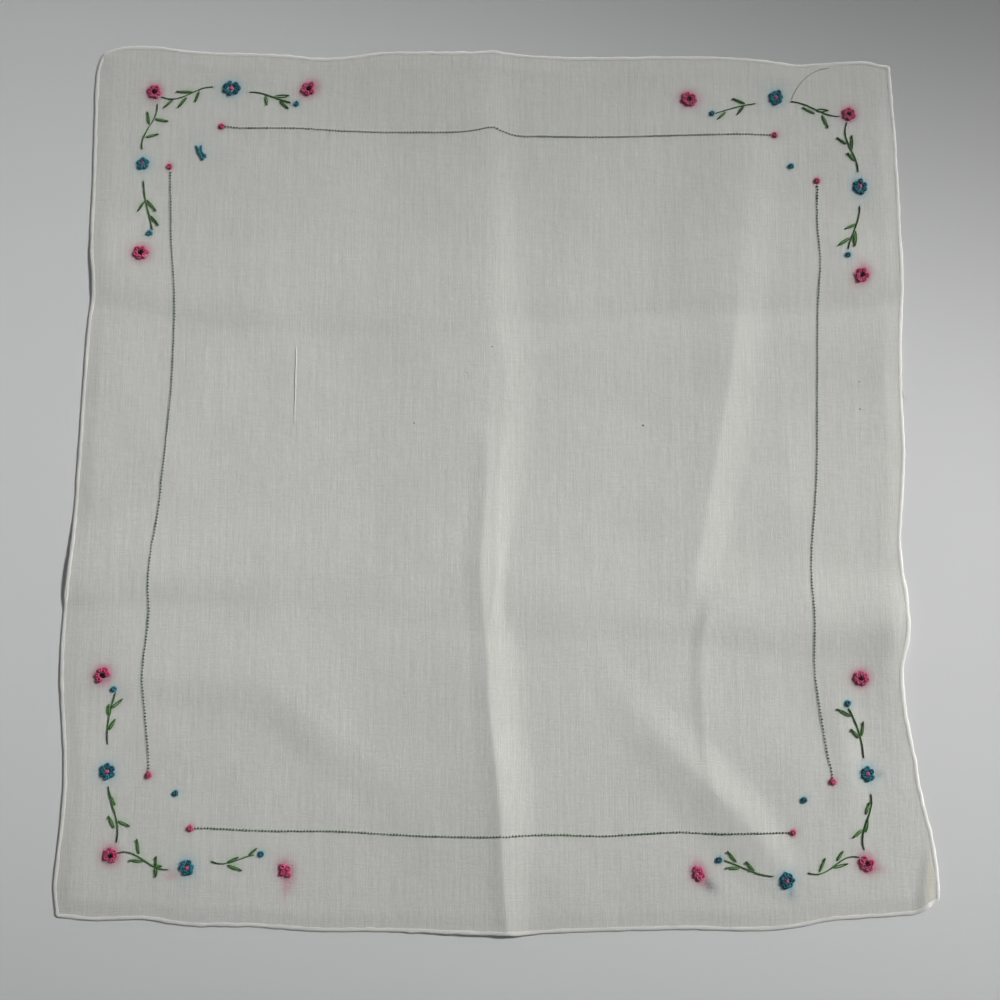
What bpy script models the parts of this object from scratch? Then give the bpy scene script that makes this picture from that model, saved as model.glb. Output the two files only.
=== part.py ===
"""Lady's linen handkerchief with a rolled hem, laid flat, with the creases of its folding still in it.

The cloth is one sheet. Its underside lies in the plane z = 0 wherever it touches the table, and
lifts off it along the folds. X runs to the right, Y away from the viewer, Z up, in metres. The
origin is at the middle of the cloth's outline, on the table.
"""

import bmesh
import bpy
import numpy as np

MM = 0.001

# Cloth and hem
CLOTH_THICKNESS = 1.0 * MM
HEM_THICKNESS = 1.7 * MM
HEM_EDGE_SHARE = 0.65  # of the hem's thickness, where the roll turns under at the very edge
HEM_RINGS = (0.0, 0.8 * MM, 1.8 * MM, 2.6 * MM)  # distance in from the edge: edge, crown, foot, cloth

# Mesh: how many strips of cloth lie between the hem and the two upright creases, and how far
# their widths shrink towards a crease (0 even, 1 strongest)
LEFT_STRIPS = 23
MIDDLE_STRIPS = 17
RIGHT_STRIPS = 16
ROWS = 54
CREASE_PULL = 0.75
OUTLINE_TURNS = 10  # how often the points are moved to their column and row in turn, to settle

# A fold lower than this is pressed flat, so that the cloth truly lies on the table there
FLAT_BELOW = 0.06 * MM

LINEN_COLOUR = (0.76, 0.77, 0.73, 1.0)
LINEN_ROUGHNESS = 0.85

# The four edges of the cloth, as they wander: (along, across) in millimetres. The left and right
# edges give x for a height y, and the bottom and top edges give y for a place x.
LEFT_EDGE = (
    (-151.0, -146.9),
    (-141.0, -148.1),
    (-124.0, -147.0),
    (-108.0, -146.2),
    (-90.0, -147.2),
    (-77.0, -148.5),
    (-62.0, -149.0),
    (-45.0, -148.5),
    (-24.0, -146.9),
    (10.0, -145.8),
    (42.0, -144.9),
    (54.0, -144.4),
    (65.0, -143.3),
    (79.0, -144.6),
    (108.0, -144.9),
    (133.0, -145.2),
    (149.0, -144.6),
    (154.0, -143.2),
)
RIGHT_EDGE = (
    (-145.5, 148.8),
    (-138.0, 148.7),
    (-125.0, 147.4),
    (-110.0, 144.2),
    (-98.0, 142.6),
    (-82.0, 139.9),
    (-70.0, 139.1),
    (-58.0, 141.4),
    (-46.0, 142.0),
    (-27.0, 140.5),
    (-8.0, 142.0),
    (2.0, 142.9),
    (30.0, 143.0),
    (50.0, 143.6),
    (62.0, 144.7),
    (92.0, 144.9),
    (128.0, 144.2),
    (149.0, 143.4),
)
BOTTOM_EDGE = (
    (-147.5, -150.2),
    (-134.0, -151.4),
    (-119.0, -151.0),
    (-104.0, -153.0),
    (-81.0, -153.4),
    (-60.0, -154.8),
    (-38.0, -154.9),
    (-10.0, -155.8),
    (6.0, -156.1),
    (23.0, -155.3),
    (60.0, -154.3),
    (102.0, -153.4),
    (110.0, -151.8),
    (133.0, -150.0),
    (142.0, -148.9),
    (148.8, -145.3),
)
TOP_EDGE = (
    (-143.4, 153.4),
    (-138.5, 155.2),
    (-132.0, 156.1),
    (-124.0, 156.0),
    (-112.0, 154.4),
    (-78.0, 152.9),
    (-62.0, 151.6),
    (-51.0, 152.4),
    (-40.0, 153.9),
    (-8.0, 153.8),
    (-1.5, 154.4),
    (6.0, 153.3),
    (36.0, 151.9),
    (66.0, 152.2),
    (94.0, 151.2),
    (111.0, 149.1),
    (124.0, 149.9),
    (134.0, 150.4),
    (139.0, 149.2),
    (143.4, 148.7),
)

# The folds. Each section is (along, across, height, before, after, top, near foot, far foot), in
# millimetres but for the last three: where the crest is, how high it stands, how wide its flanks are
# on the lower and the higher side of "across", how round its top is, from 1 for a pressed edge to 2
# for a roll, and how softly the foot of each flank runs out, from 1 for an abrupt one to 2 for a soft
# one.
CENTRE_CREASE = (  # upright, from the bottom hem to the top hem: along is y, across is x
    (-160.0, 4.2, 0.33, 7.0, 9.0, 1.15, 1.8, 2.3),
    (-142.0, 2.8, 0.35, 7.0, 9.0, 1.15, 1.8, 2.3),
    (-114.0, 1.4, 0.38, 7.0, 9.5, 1.15, 1.8, 2.3),
    (-100.0, 0.1, 0.4, 7.0, 9.5, 1.15, 1.8, 2.3),
    (-80.0, -2.2, 0.4, 7.0, 9.5, 1.15, 1.8, 2.3),
    (-62.0, -3.0, 0.34, 6.5, 8.5, 1.15, 1.6, 2.0),
    (-45.0, -4.4, 0.3, 6.0, 7.0, 1.2, 1.4, 1.2),
    (-34.0, -5.2, 0.32, 6.0, 8.5, 1.2, 1.4, 1.2),
    (-17.0, -4.0, 0.32, 6.0, 10.0, 1.2, 1.4, 1.2),
    (7.0, -2.9, 0.22, 7.0, 12.0, 1.3, 1.5, 1.5),
    (22.0, -4.2, 0.0, 9.0, 12.0, 1.4, 1.6, 1.6),
    (59.0, -3.3, 0.0, 9.0, 12.0, 1.4, 1.8, 1.8),
    (87.0, -2.6, 0.0, 9.0, 12.0, 1.4, 1.8, 1.8),
    (108.0, -2.4, 0.0, 9.0, 12.0, 1.4, 1.8, 1.8),
    (129.0, -6.2, 0.0, 9.0, 12.0, 1.4, 1.8, 1.8),
    (158.0, -7.5, 0.0, 9.0, 12.0, 1.4, 1.8, 1.8),
)
CENTRE_RISE = (  # upright, the lawn rising slowly from the left to the crease and falling off right of it
    (-160.0, 4.2, 0.6, 40.0, 10.5, 1.5, 1.5, 1.8),
    (-142.0, 2.8, 0.75, 45.0, 11.0, 1.5, 1.5, 1.8),
    (-114.0, 1.4, 1.15, 50.0, 13.0, 1.5, 1.5, 1.8),
    (-80.0, -2.2, 1.3, 50.0, 13.5, 1.5, 1.5, 1.8),
    (-62.0, -3.0, 1.1, 50.0, 12.5, 1.5, 1.5, 1.6),
    (-47.0, -4.3, 0.7, 50.0, 7.5, 1.3, 1.5, 1.1),
    (-34.0, -5.2, 0.85, 50.0, 9.0, 1.3, 1.5, 1.1),
    (-17.0, -4.0, 0.95, 50.0, 11.0, 1.3, 1.5, 1.2),
    (7.0, -2.9, 0.95, 50.0, 15.0, 1.5, 1.5, 1.5),
    (31.0, -4.0, 1.0, 45.0, 18.0, 1.9, 1.5, 1.7),
    (59.0, -3.3, 1.0, 45.0, 15.5, 1.6, 1.5, 1.8),
    (87.0, -2.6, 0.7, 40.0, 11.5, 1.6, 1.5, 1.8),
    (108.0, -2.4, 0.38, 40.0, 9.5, 1.8, 1.6, 1.8),
    (129.0, -6.2, 0.4, 40.0, 14.0, 2.0, 1.8, 2.0),
    (158.0, -7.5, 0.45, 40.0, 14.0, 2.0, 1.8, 2.0),
)
RIGHT_FOLD = (  # upright, a long spindle that runs down into a pucker
    (-50.0, 65.0, 0.0, 8.0, 5.0, 1.2, 1.6, 1.5),
    (-42.0, 66.8, 0.5, 16.0, 8.0, 1.2, 1.6, 1.5),
    (-34.0, 69.3, 0.75, 24.0, 9.5, 1.2, 1.6, 1.5),
    (-20.0, 72.2, 0.9, 30.0, 10.5, 1.2, 1.6, 1.6),
    (-2.0, 75.4, 1.0, 32.0, 11.5, 1.2, 1.6, 1.7),
    (20.0, 79.8, 1.0, 32.0, 12.5, 1.2, 1.6, 1.8),
    (42.0, 83.6, 0.95, 32.0, 13.0, 1.25, 1.6, 1.8),
    (62.0, 85.4, 0.85, 32.0, 14.0, 1.5, 1.7, 1.9),
    (92.0, 87.5, 0.6, 30.0, 15.0, 1.9, 1.8, 2.0),
    (112.0, 90.0, 0.35, 28.0, 15.0, 2.0, 2.0, 2.0),
    (132.0, 91.5, 0.0, 25.0, 15.0, 2.0, 2.0, 2.0),
)
LOWER_RIGHT_CREASE = (  # upright, from the pucker down to the diagonal fold
    (-116.0, 75.0, 0.0, 4.0, 7.0, 1.2, 1.6, 1.5),
    (-103.0, 72.4, 0.16, 4.0, 8.0, 1.2, 1.6, 1.5),
    (-92.0, 70.8, 0.22, 4.0, 8.0, 1.2, 1.6, 1.5),
    (-78.0, 70.2, 0.26, 4.0, 8.5, 1.2, 1.6, 1.5),
    (-66.0, 70.3, 0.3, 4.2, 8.5, 1.2, 1.6, 1.5),
    (-57.0, 71.0, 0.34, 4.2, 8.0, 1.2, 1.6, 1.5),
    (-50.0, 72.6, 0.3, 3.8, 7.0, 1.2, 1.6, 1.5),
    (-42.0, 75.4, 0.0, 3.0, 6.0, 1.2, 1.6, 1.5),
)
RIGHT_RIPPLE = (  # upright, a soft ripple beside the lower right corner
    (-132.0, 121.0, 0.0, 9.0, 9.0, 1.7, 1.8, 1.8),
    (-118.0, 120.0, 0.25, 9.0, 9.0, 1.6, 1.8, 1.8),
    (-100.0, 119.0, 0.42, 9.0, 9.0, 1.5, 1.8, 1.8),
    (-86.0, 117.0, 0.3, 9.0, 9.0, 1.6, 1.8, 1.8),
    (-70.0, 113.0, 0.0, 9.0, 9.0, 1.8, 1.8, 1.8),
)
UPPER_BANK = (  # level, the bank above the upper crease, which is its lower foot: along is x, across is y
    (-150.0, 69.5, 0.42, 10.0, 22.0, 2.0, 1.5, 2.0),
    (-123.0, 66.5, 0.52, 10.5, 22.0, 2.0, 1.4, 2.0),
    (-105.0, 62.2, 0.5, 10.5, 22.0, 2.0, 1.4, 2.0),
    (-62.0, 59.0, 0.4, 10.5, 22.0, 2.0, 1.5, 2.0),
    (-23.0, 57.5, 0.24, 10.5, 22.0, 2.0, 1.6, 2.0),
    (0.0, 62.0, 0.24, 10.5, 22.0, 2.0, 1.5, 2.0),
    (37.0, 63.5, 0.3, 10.5, 22.0, 2.0, 1.5, 2.0),
    (66.0, 65.5, 0.34, 10.5, 22.0, 2.0, 1.6, 2.0),
    (119.0, 66.5, 0.42, 10.5, 22.0, 2.0, 1.6, 2.0),
    (136.0, 68.5, 0.48, 10.5, 22.0, 2.0, 1.5, 2.0),
    (150.0, 69.5, 0.48, 10.5, 22.0, 2.0, 1.5, 2.0),
)
UPPER_SHELF = (  # level, the bank below the right half of the upper crease
    (-30.0, 37.0, 0.0, 24.0, 13.0, 2.0, 2.0, 1.5),
    (0.0, 41.0, 0.2, 24.0, 13.0, 2.0, 2.0, 1.5),
    (37.0, 42.5, 0.32, 24.0, 13.0, 2.0, 2.0, 1.5),
    (66.0, 44.5, 0.42, 24.0, 13.0, 2.0, 2.0, 1.5),
    (119.0, 45.5, 0.55, 24.0, 13.0, 2.0, 2.0, 1.5),
    (136.0, 47.5, 0.65, 24.0, 13.0, 2.0, 2.0, 1.5),
    (150.0, 48.5, 0.7, 24.0, 13.0, 2.0, 2.0, 1.5),
)
LOWER_BANK = (  # level, the bank above the lower crease, which is its lower foot
    (-152.0, -36.5, 0.75, 12.0, 24.0, 2.0, 1.4, 2.0),
    (-125.0, -35.2, 0.85, 12.0, 24.0, 2.0, 1.4, 2.0),
    (-109.0, -35.0, 0.6, 11.5, 24.0, 2.0, 1.4, 2.0),
    (-88.0, -35.6, 0.45, 11.5, 24.0, 2.0, 1.4, 2.0),
    (-60.0, -38.5, 0.32, 11.5, 24.0, 2.0, 1.4, 2.0),
    (-30.0, -41.6, 0.25, 11.5, 24.0, 2.0, 1.4, 2.0),
    (2.0, -45.8, 0.34, 11.5, 24.0, 2.0, 1.4, 2.0),
    (30.0, -47.2, 0.4, 11.5, 24.0, 2.0, 1.4, 2.0),
    (62.0, -47.6, 0.4, 11.5, 24.0, 2.0, 1.4, 2.0),
    (78.0, -49.0, 0.7, 13.0, 24.0, 2.0, 1.5, 2.0),
    (100.0, -51.0, 0.75, 14.0, 24.0, 2.0, 1.5, 2.0),
    (118.0, -51.0, 0.55, 14.0, 22.0, 2.0, 1.5, 2.0),
    (146.0, -51.0, 0.2, 13.0, 20.0, 2.0, 1.5, 2.0),
)
LEFT_SLANT = (  # level near the left hem, then slanting down to the middle of the cloth
    (-148.0, -72.5, 0.1, 9.0, 22.0, 1.6, 1.6, 2.0),
    (-132.0, -71.5, 0.34, 9.5, 22.0, 1.6, 1.6, 2.0),
    (-110.0, -71.0, 0.46, 10.5, 22.0, 1.5, 1.6, 2.0),
    (-90.0, -71.5, 0.46, 12.0, 24.0, 1.5, 1.5, 2.0),
    (-79.0, -74.6, 0.48, 14.5, 27.0, 1.5, 1.45, 2.0),
    (-67.0, -81.5, 0.5, 17.0, 30.0, 1.5, 1.45, 2.0),
    (-50.0, -92.5, 0.45, 17.5, 30.0, 1.5, 1.5, 2.0),
    (-38.0, -102.0, 0.3, 15.5, 26.0, 1.6, 1.6, 2.0),
    (-20.0, -109.0, 0.0, 12.0, 20.0, 1.7, 1.6, 2.0),
)
RIGHT_SLANT = (  # the fan of cloth that slants down from the pucker to the lower right corner
    (30.0, -66.0, 0.0, 16.0, 12.0, 1.6, 1.6, 1.7),
    (42.0, -77.5, 0.2, 18.0, 13.0, 1.6, 1.6, 1.7),
    (55.0, -91.0, 0.5, 21.0, 15.0, 1.5, 1.6, 1.6),
    (68.0, -103.5, 0.85, 23.0, 16.0, 1.45, 1.5, 1.6),
    (79.0, -114.5, 0.98, 23.0, 17.0, 1.4, 1.5, 1.6),
    (90.0, -125.0, 0.72, 19.0, 16.0, 1.5, 1.6, 1.7),
    (104.0, -138.0, 0.0, 12.0, 12.0, 1.6, 1.6, 1.8),
)
LIFTED_EDGE = (  # level, the cloth rising to the right hem, which stands clear of the table
    (98.0, -55.0, 0.0, 34.0, 20.0, 2.0, 1.6, 2.0),
    (112.0, -55.0, 0.3, 36.0, 20.0, 1.8, 1.6, 1.8),
    (126.0, -55.0, 0.9, 40.0, 20.0, 1.6, 1.5, 1.7),
    (136.0, -55.0, 1.6, 44.0, 20.0, 1.5, 1.4, 1.6),
    (150.0, -55.0, 2.3, 46.0, 20.0, 1.5, 1.4, 1.6),
)
CORNER_CURL = (  # upright, the hem turned in beside the lower right corner
    (-152.0, 143.4, 0.35, 3.5, 2.4, 1.4, 1.5, 1.5),
    (-144.5, 143.9, 0.5, 3.5, 2.4, 1.4, 1.5, 1.5),
    (-137.0, 144.8, 0.5, 3.5, 2.2, 1.4, 1.5, 1.5),
    (-131.0, 145.6, 0.35, 3.0, 2.0, 1.4, 1.5, 1.5),
    (-125.0, 146.4, 0.0, 3.0, 2.0, 1.4, 1.5, 1.5),
)
UPRIGHT_FOLDS = (CENTRE_CREASE, CENTRE_RISE, RIGHT_FOLD, LOWER_RIGHT_CREASE, RIGHT_RIPPLE, CORNER_CURL)
LEVEL_FOLDS = (UPPER_BANK, UPPER_SHELF, LOWER_BANK, LEFT_SLANT, RIGHT_SLANT, LIFTED_EDGE)

# The two upright lines that a row of the mesh follows, so that each crest has its own column
RIGHT_GUIDE = tuple(row[:2] for row in LOWER_RIGHT_CREASE[:6]) + tuple(row[:2] for row in RIGHT_FOLD[3:])


def smooth_value(where, rows, column):
    """Reads a column of a table at any place along it, as a cubic curve through its rows."""
    table = np.array(rows, float)
    along = table[:, 0]
    value = table[:, column]
    step = np.diff(along)
    slope = np.diff(value) / step
    tangent = np.zeros(len(along))
    tangent[1:-1] = (slope[:-1] * step[1:] + slope[1:] * step[:-1]) / (step[:-1] + step[1:])
    tangent[1:-1] = np.where(slope[:-1] * slope[1:] <= 0.0, 0.0, tangent[1:-1])
    place = np.clip(where, along[0], along[-1])
    piece = np.clip(np.searchsorted(along, place, side="right") - 1, 0, len(step) - 1)
    width = step[piece]
    t = (place - along[piece]) / width
    start = (1.0 + 2.0 * t) * (1.0 - t) ** 2 * value[piece]
    end = t**2 * (3.0 - 2.0 * t) * value[piece + 1]
    leave = t * (1.0 - t) ** 2 * width * tangent[piece]
    arrive = t**2 * (t - 1.0) * width * tangent[piece + 1]
    return start + end + leave + arrive


def one_fold(along, across, rows):
    """Height of one fold: height * (1 - r ** top) ** foot, with r the share of a flank's width."""
    offset = across - smooth_value(along, rows, 1)
    height = smooth_value(along, rows, 2)
    before = smooth_value(along, rows, 3)
    after = smooth_value(along, rows, 4)
    top = smooth_value(along, rows, 5)
    foot = np.where(offset < 0.0, smooth_value(along, rows, 6), smooth_value(along, rows, 7))
    reach = np.clip(np.abs(offset) / np.where(offset < 0.0, before, after), 0.0, 1.0)
    return height * (1.0 - reach**top) ** foot


def fold_height(x, y):
    """Height of the cloth's underside over the table, in millimetres: the sum of all its folds."""
    upright = sum(one_fold(y, x, rows) for rows in UPRIGHT_FOLDS)
    level = sum(one_fold(x, y, rows) for rows in LEVEL_FOLDS)
    return np.maximum(upright + level - FLAT_BELOW / MM, 0.0)


def graded(count, at_start, at_end):
    """Shares from 0 to 1 of a stretch cut in strips that narrow towards the ends that ask for it."""
    t = np.linspace(0.0, 1.0, count + 1)
    ends = 0.5 - 0.5 * np.cos(np.pi * t)
    start = 1.0 - np.cos(0.5 * np.pi * t)
    if at_start and at_end:
        eased = ends
    elif at_start:
        eased = start
    else:
        eased = 1.0 - start[::-1]
    return t + CREASE_PULL * (eased - t)


def column_x(y):
    """X of every column of the mesh at height y: hem, field, crease, field, fold, field, hem."""
    ring = np.array(HEM_RINGS) / MM
    left = smooth_value(y, LEFT_EDGE, 1)
    right = smooth_value(y, RIGHT_EDGE, 1)
    stops = (
        left + ring[-1],
        smooth_value(y, CENTRE_CREASE, 1),
        smooth_value(y, RIGHT_GUIDE, 1),
        right - ring[-1],
    )
    strips = (
        graded(LEFT_STRIPS, False, True),
        graded(MIDDLE_STRIPS, True, True),
        graded(RIGHT_STRIPS, True, False),
    )
    columns = [left + inset for inset in ring]
    for start, end, shares in zip(stops[:-1], stops[1:], strips):
        columns += [start + (end - start) * share for share in shares[1:]]
    columns += [right - inset for inset in ring[-2::-1]]
    return columns


def row_y(x):
    """Y of every row of the mesh at place x: hem, even rows, hem."""
    ring = np.array(HEM_RINGS) / MM
    bottom = smooth_value(x, BOTTOM_EDGE, 1)
    top = smooth_value(x, TOP_EDGE, 1)
    rows = [bottom + inset for inset in ring]
    for share in np.linspace(0.0, 1.0, ROWS + 1)[1:]:
        rows.append(bottom + ring[-1] + (top - bottom - 2.0 * ring[-1]) * share)
    rows += [top - inset for inset in ring[-2::-1]]
    return rows


def pick(index, layers):
    """The value of the layer that the index names, point by point."""
    return np.take_along_axis(np.stack(layers), index[None], axis=0)[0]


def cloth_points(columns, rows):
    """Places of the mesh's points: each lies on its own column and its own row, found by turns."""
    row, column = np.indices((rows, columns))
    x = np.zeros((rows, columns))
    y = np.zeros((rows, columns))
    for _ in range(OUTLINE_TURNS):
        x = pick(column, column_x(y))
        y = pick(row, row_y(x))
    return x, y


def linen_material():
    material = bpy.data.materials.new("linen")
    material.use_nodes = True
    shader = material.node_tree.nodes["Principled BSDF"]
    shader.inputs["Base Color"].default_value = LINEN_COLOUR
    shader.inputs["Roughness"].default_value = LINEN_ROUGHNESS
    shader.inputs["Metallic"].default_value = 0.0
    material.diffuse_color = LINEN_COLOUR
    return material


def build_cloth(collection):
    """One grid, moved to the cloth's outline and folds, then given its thickness upwards."""
    columns = len(column_x(np.zeros(1)))
    rows = len(row_y(np.zeros(1)))
    x, y = cloth_points(columns, rows)
    z = fold_height(x, y)

    sheet = bmesh.new()
    bmesh.ops.create_grid(sheet, x_segments=columns - 1, y_segments=rows - 1, size=1.0)
    sheet.verts.ensure_lookup_table()
    ordered = sorted(sheet.verts, key=lambda vert: (round(vert.co.y, 5), round(vert.co.x, 5)))
    for vert, place in zip(ordered, np.stack([x, y, z], axis=-1).reshape(-1, 3)):
        vert.co = place * MM
    ring_of = [
        min(row, rows - 1 - row, column, columns - 1 - column)
        for row in range(rows)
        for column in range(columns)
    ]
    rings = {}
    for vert, ring in zip(ordered, ring_of):
        rings.setdefault(ring, []).append(vert.index)

    mesh = bpy.data.meshes.new("linen_cloth")
    sheet.to_mesh(mesh)
    sheet.free()
    mesh.shade_smooth()
    cloth = bpy.data.objects.new("linen_cloth", mesh)
    collection.objects.link(cloth)
    cloth.data.materials.append(linen_material())

    # The rolled hem is thicker than the cloth: full weight is the hem's crown
    roll = cloth.vertex_groups.new(name="rolled_hem")
    lowest = CLOTH_THICKNESS / HEM_THICKNESS
    roll.add(rings[0], (HEM_EDGE_SHARE - lowest) / (1.0 - lowest), "REPLACE")
    roll.add(rings[1], 1.0, "REPLACE")
    roll.add(rings[2], 0.6, "REPLACE")

    thickness = cloth.modifiers.new("thickness", "SOLIDIFY")
    thickness.thickness = HEM_THICKNESS
    thickness.offset = 1.0
    thickness.vertex_group = "rolled_hem"
    thickness.thickness_vertex_group = lowest
    thickness.use_rim = True
    return cloth


def main():
    for item in list(bpy.data.objects):
        bpy.data.objects.remove(item, do_unlink=True)
    collection = bpy.data.collections.new("linen_handkerchief")
    bpy.context.scene.collection.children.link(collection)
    build_cloth(collection)


main()
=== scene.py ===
"""Looks of the linen handkerchief: the sheer sheet in its folds, the rolled hem and the embroidery.

Places and sizes are in millimetres in the cloth's own frame: X to the right, Y to the top edge, Z up
from the table, with the origin at the middle of the outline. They become metres when a mesh is made.
"""

import math

import bpy
import numpy as np
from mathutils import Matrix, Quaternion, Vector


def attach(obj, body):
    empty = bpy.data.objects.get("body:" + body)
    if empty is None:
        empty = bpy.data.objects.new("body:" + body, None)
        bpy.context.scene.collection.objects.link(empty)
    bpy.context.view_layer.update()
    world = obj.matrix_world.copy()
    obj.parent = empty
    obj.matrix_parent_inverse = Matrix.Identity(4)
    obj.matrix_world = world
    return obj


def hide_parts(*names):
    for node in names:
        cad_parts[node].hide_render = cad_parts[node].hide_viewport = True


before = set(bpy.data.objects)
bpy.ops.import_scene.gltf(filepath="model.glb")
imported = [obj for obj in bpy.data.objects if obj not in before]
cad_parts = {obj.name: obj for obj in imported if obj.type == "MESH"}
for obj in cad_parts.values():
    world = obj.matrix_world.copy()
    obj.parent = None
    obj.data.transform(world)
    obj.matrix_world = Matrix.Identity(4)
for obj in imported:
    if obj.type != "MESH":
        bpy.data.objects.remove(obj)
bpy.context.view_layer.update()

MM = 0.001

# Cloth
CLOTH = 0.2  # thickness of the lawn
CLOTH_LIFT = 0.16  # the lawn's underside over the solid's, where it lies flat
TABLE_GAP = 0.02  # between a thread's underside and the table, at least
EDGE_INSET = 0.9  # the lawn ends inside the hem, this far in from the outline
EDGE_RISE = 7.0  # over this last stretch it rises to the middle of the hem
GRID_TURNS = 12
RIM_ANGLE = 45.0  # degrees, from which an edge of the sheet is sharp
CLOTH_GAP = 0.03  # between the table and the lawn or the hem, at least
LOOSE_RISE = 0.25  # of the fine creases and waves over the folds, on the whole
SOFT_FLOOR = 0.02  # how softly they are kept off the table
EDGE_STEP = 0.5  # between the places that an edge is read at
CORNER_TURNS = 30

# Hem
HEM_RADIUS = 0.8
HEM_FLATNESS = 0.24
HEM_GAP = 0.05  # between the roll and the solid's underside
HEM_STEP = 0.7  # between the rings of the roll
HEM_SIDES = 12
HEM_BULGE, HEM_UNEVEN = 0.04, 0.07  # of its radius, between stitches and by chance
HEM_WANDER = 0.08
HEM_END = (0.35, 3.0)  # its radius at both ends, as a share, and how far in it grows to the full one
WHIP_PITCH = 2.3
WHIP_RADIUS = 0.05
WHIP_POINTS = 12.0  # on each turn of the sewing thread

# Threads: their radii, and how far apart the stitches start
KNOT_THREAD = 0.3
STEM_THREAD = 0.215
STEM_PITCH = 1.15
STEM_REACH = 1.75  # of a stitch, in steps of the stem
LEAF_THREAD = 0.21
BORDER_THREAD = 0.3
BORDER_PITCH = 1.08
HAIR_RADIUS = 0.065
PLIES = 2.0

# The four edges of the cloth, as they wander: (along, across). The left and right edges give x for a
# height y, and the bottom and top edges give y for a place x.
LEFT_EDGE = (
    (-151, -146.9), (-141, -148.1), (-124, -147), (-108, -146.2), (-90, -147.2), (-77, -148.5),
    (-62, -149), (-45, -148.5), (-24, -146.9), (10, -145.8), (42, -144.9), (54, -144.4), (65, -143.3),
    (79, -144.6), (108, -144.9), (133, -145.2), (149, -144.6), (154, -143.2),
)
RIGHT_EDGE = (
    (-145.5, 148.8), (-138, 148.7), (-125, 147.4), (-110, 144.2), (-98, 142.6), (-82, 139.9),
    (-70, 139.1), (-58, 141.4), (-46, 142), (-27, 140.5), (-8, 142), (2, 142.9), (30, 143),
    (50, 143.6), (62, 144.7), (92, 144.9), (128, 144.2), (149, 143.4),
)
BOTTOM_EDGE = (
    (-147.5, -150.2), (-134, -151.4), (-119, -151), (-104, -153), (-81, -153.4), (-60, -154.8),
    (-38, -154.9), (-10, -155.8), (6, -156.1), (23, -155.3), (60, -154.3), (102, -153.4),
    (110, -151.8), (133, -150), (142, -148.9), (148.8, -145.3),
)
TOP_EDGE = (
    (-143.4, 153.4), (-138.5, 155.2), (-132, 156.1), (-124, 156), (-112, 154.4), (-78, 152.9),
    (-62, 151.6), (-51, 152.4), (-40, 153.9), (-8, 153.8), (-1.5, 154.4), (6, 153.3), (36, 151.9),
    (66, 152.2), (94, 151.2), (111, 149.1), (124, 149.9), (134, 150.4), (139, 149.2), (143.4, 148.7),
)


def fold(*rows, flanks):
    """The rows of one fold. What a row leaves out at its end, it takes from the end of flanks."""
    return tuple(row + flanks[len(row) - 3:] for row in rows)


# The folds of the solid. Each row is (along, across, height, before, after, top, near foot, far foot):
# where the crest is, how high it stands, how wide its flanks are on the lower and the higher side of
# "across", how round its top is, from 1 for a pressed edge to 2 for a roll, and how softly the foot of
# each flank runs out, from 1 for an abrupt one to 2 for a soft one. flanks has the last five of these.
CENTRE_CREASE = fold(  # upright, from the bottom hem to the top hem: along is y, across is x
    (-160, 4.2, 0.33, 7, 9, 1.15, 1.8, 2.3), (-142, 2.8, 0.35, 7, 9, 1.15, 1.8, 2.3),
    (-114, 1.4, 0.38, 7, 9.5, 1.15, 1.8, 2.3), (-100, 0.1, 0.4, 7, 9.5, 1.15, 1.8, 2.3),
    (-80, -2.2, 0.4, 7, 9.5, 1.15, 1.8, 2.3), (-62, -3, 0.34, 6.5, 8.5, 1.15, 1.6, 2),
    (-45, -4.4, 0.3, 6, 7, 1.2, 1.4, 1.2), (-34, -5.2, 0.32, 6, 8.5, 1.2, 1.4, 1.2),
    (-17, -4, 0.32, 6, 10, 1.2, 1.4, 1.2), (7, -2.9, 0.22, 7, 12, 1.3, 1.5, 1.5),
    (22, -4.2, 0, 9, 12, 1.4, 1.6, 1.6), (59, -3.3, 0), (87, -2.6, 0), (108, -2.4, 0), (129, -6.2, 0),
    (158, -7.5, 0),
    flanks=(9, 12, 1.4, 1.8, 1.8),
)
CENTRE_RISE = fold(  # upright, the lawn rising slowly to the crease and falling off right of it
    (-160, 4.2, 0.6), (-142, 2.8, 0.75, 45, 11), (-114, 1.4, 1.15, 50, 13), (-80, -2.2, 1.3, 50, 13.5),
    (-62, -3, 1.1, 50, 12.5, 1.5, 1.5, 1.6), (-47, -4.3, 0.7, 50, 7.5, 1.3, 1.5, 1.1),
    (-34, -5.2, 0.85, 50, 9, 1.3, 1.5, 1.1), (-17, -4, 0.95, 50, 11, 1.3, 1.5, 1.2),
    (7, -2.9, 0.95, 50, 15, 1.5, 1.5, 1.5), (31, -4, 1, 45, 18, 1.9, 1.5, 1.7),
    (59, -3.3, 1, 45, 15.5, 1.6), (87, -2.6, 0.7, 40, 11.5, 1.6), (108, -2.4, 0.38, 40, 9.5, 1.8, 1.6),
    (129, -6.2, 0.4, 40, 14, 2, 1.8, 2), (158, -7.5, 0.45, 40, 14, 2, 1.8, 2),
    flanks=(40, 10.5, 1.5, 1.5, 1.8),
)
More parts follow.
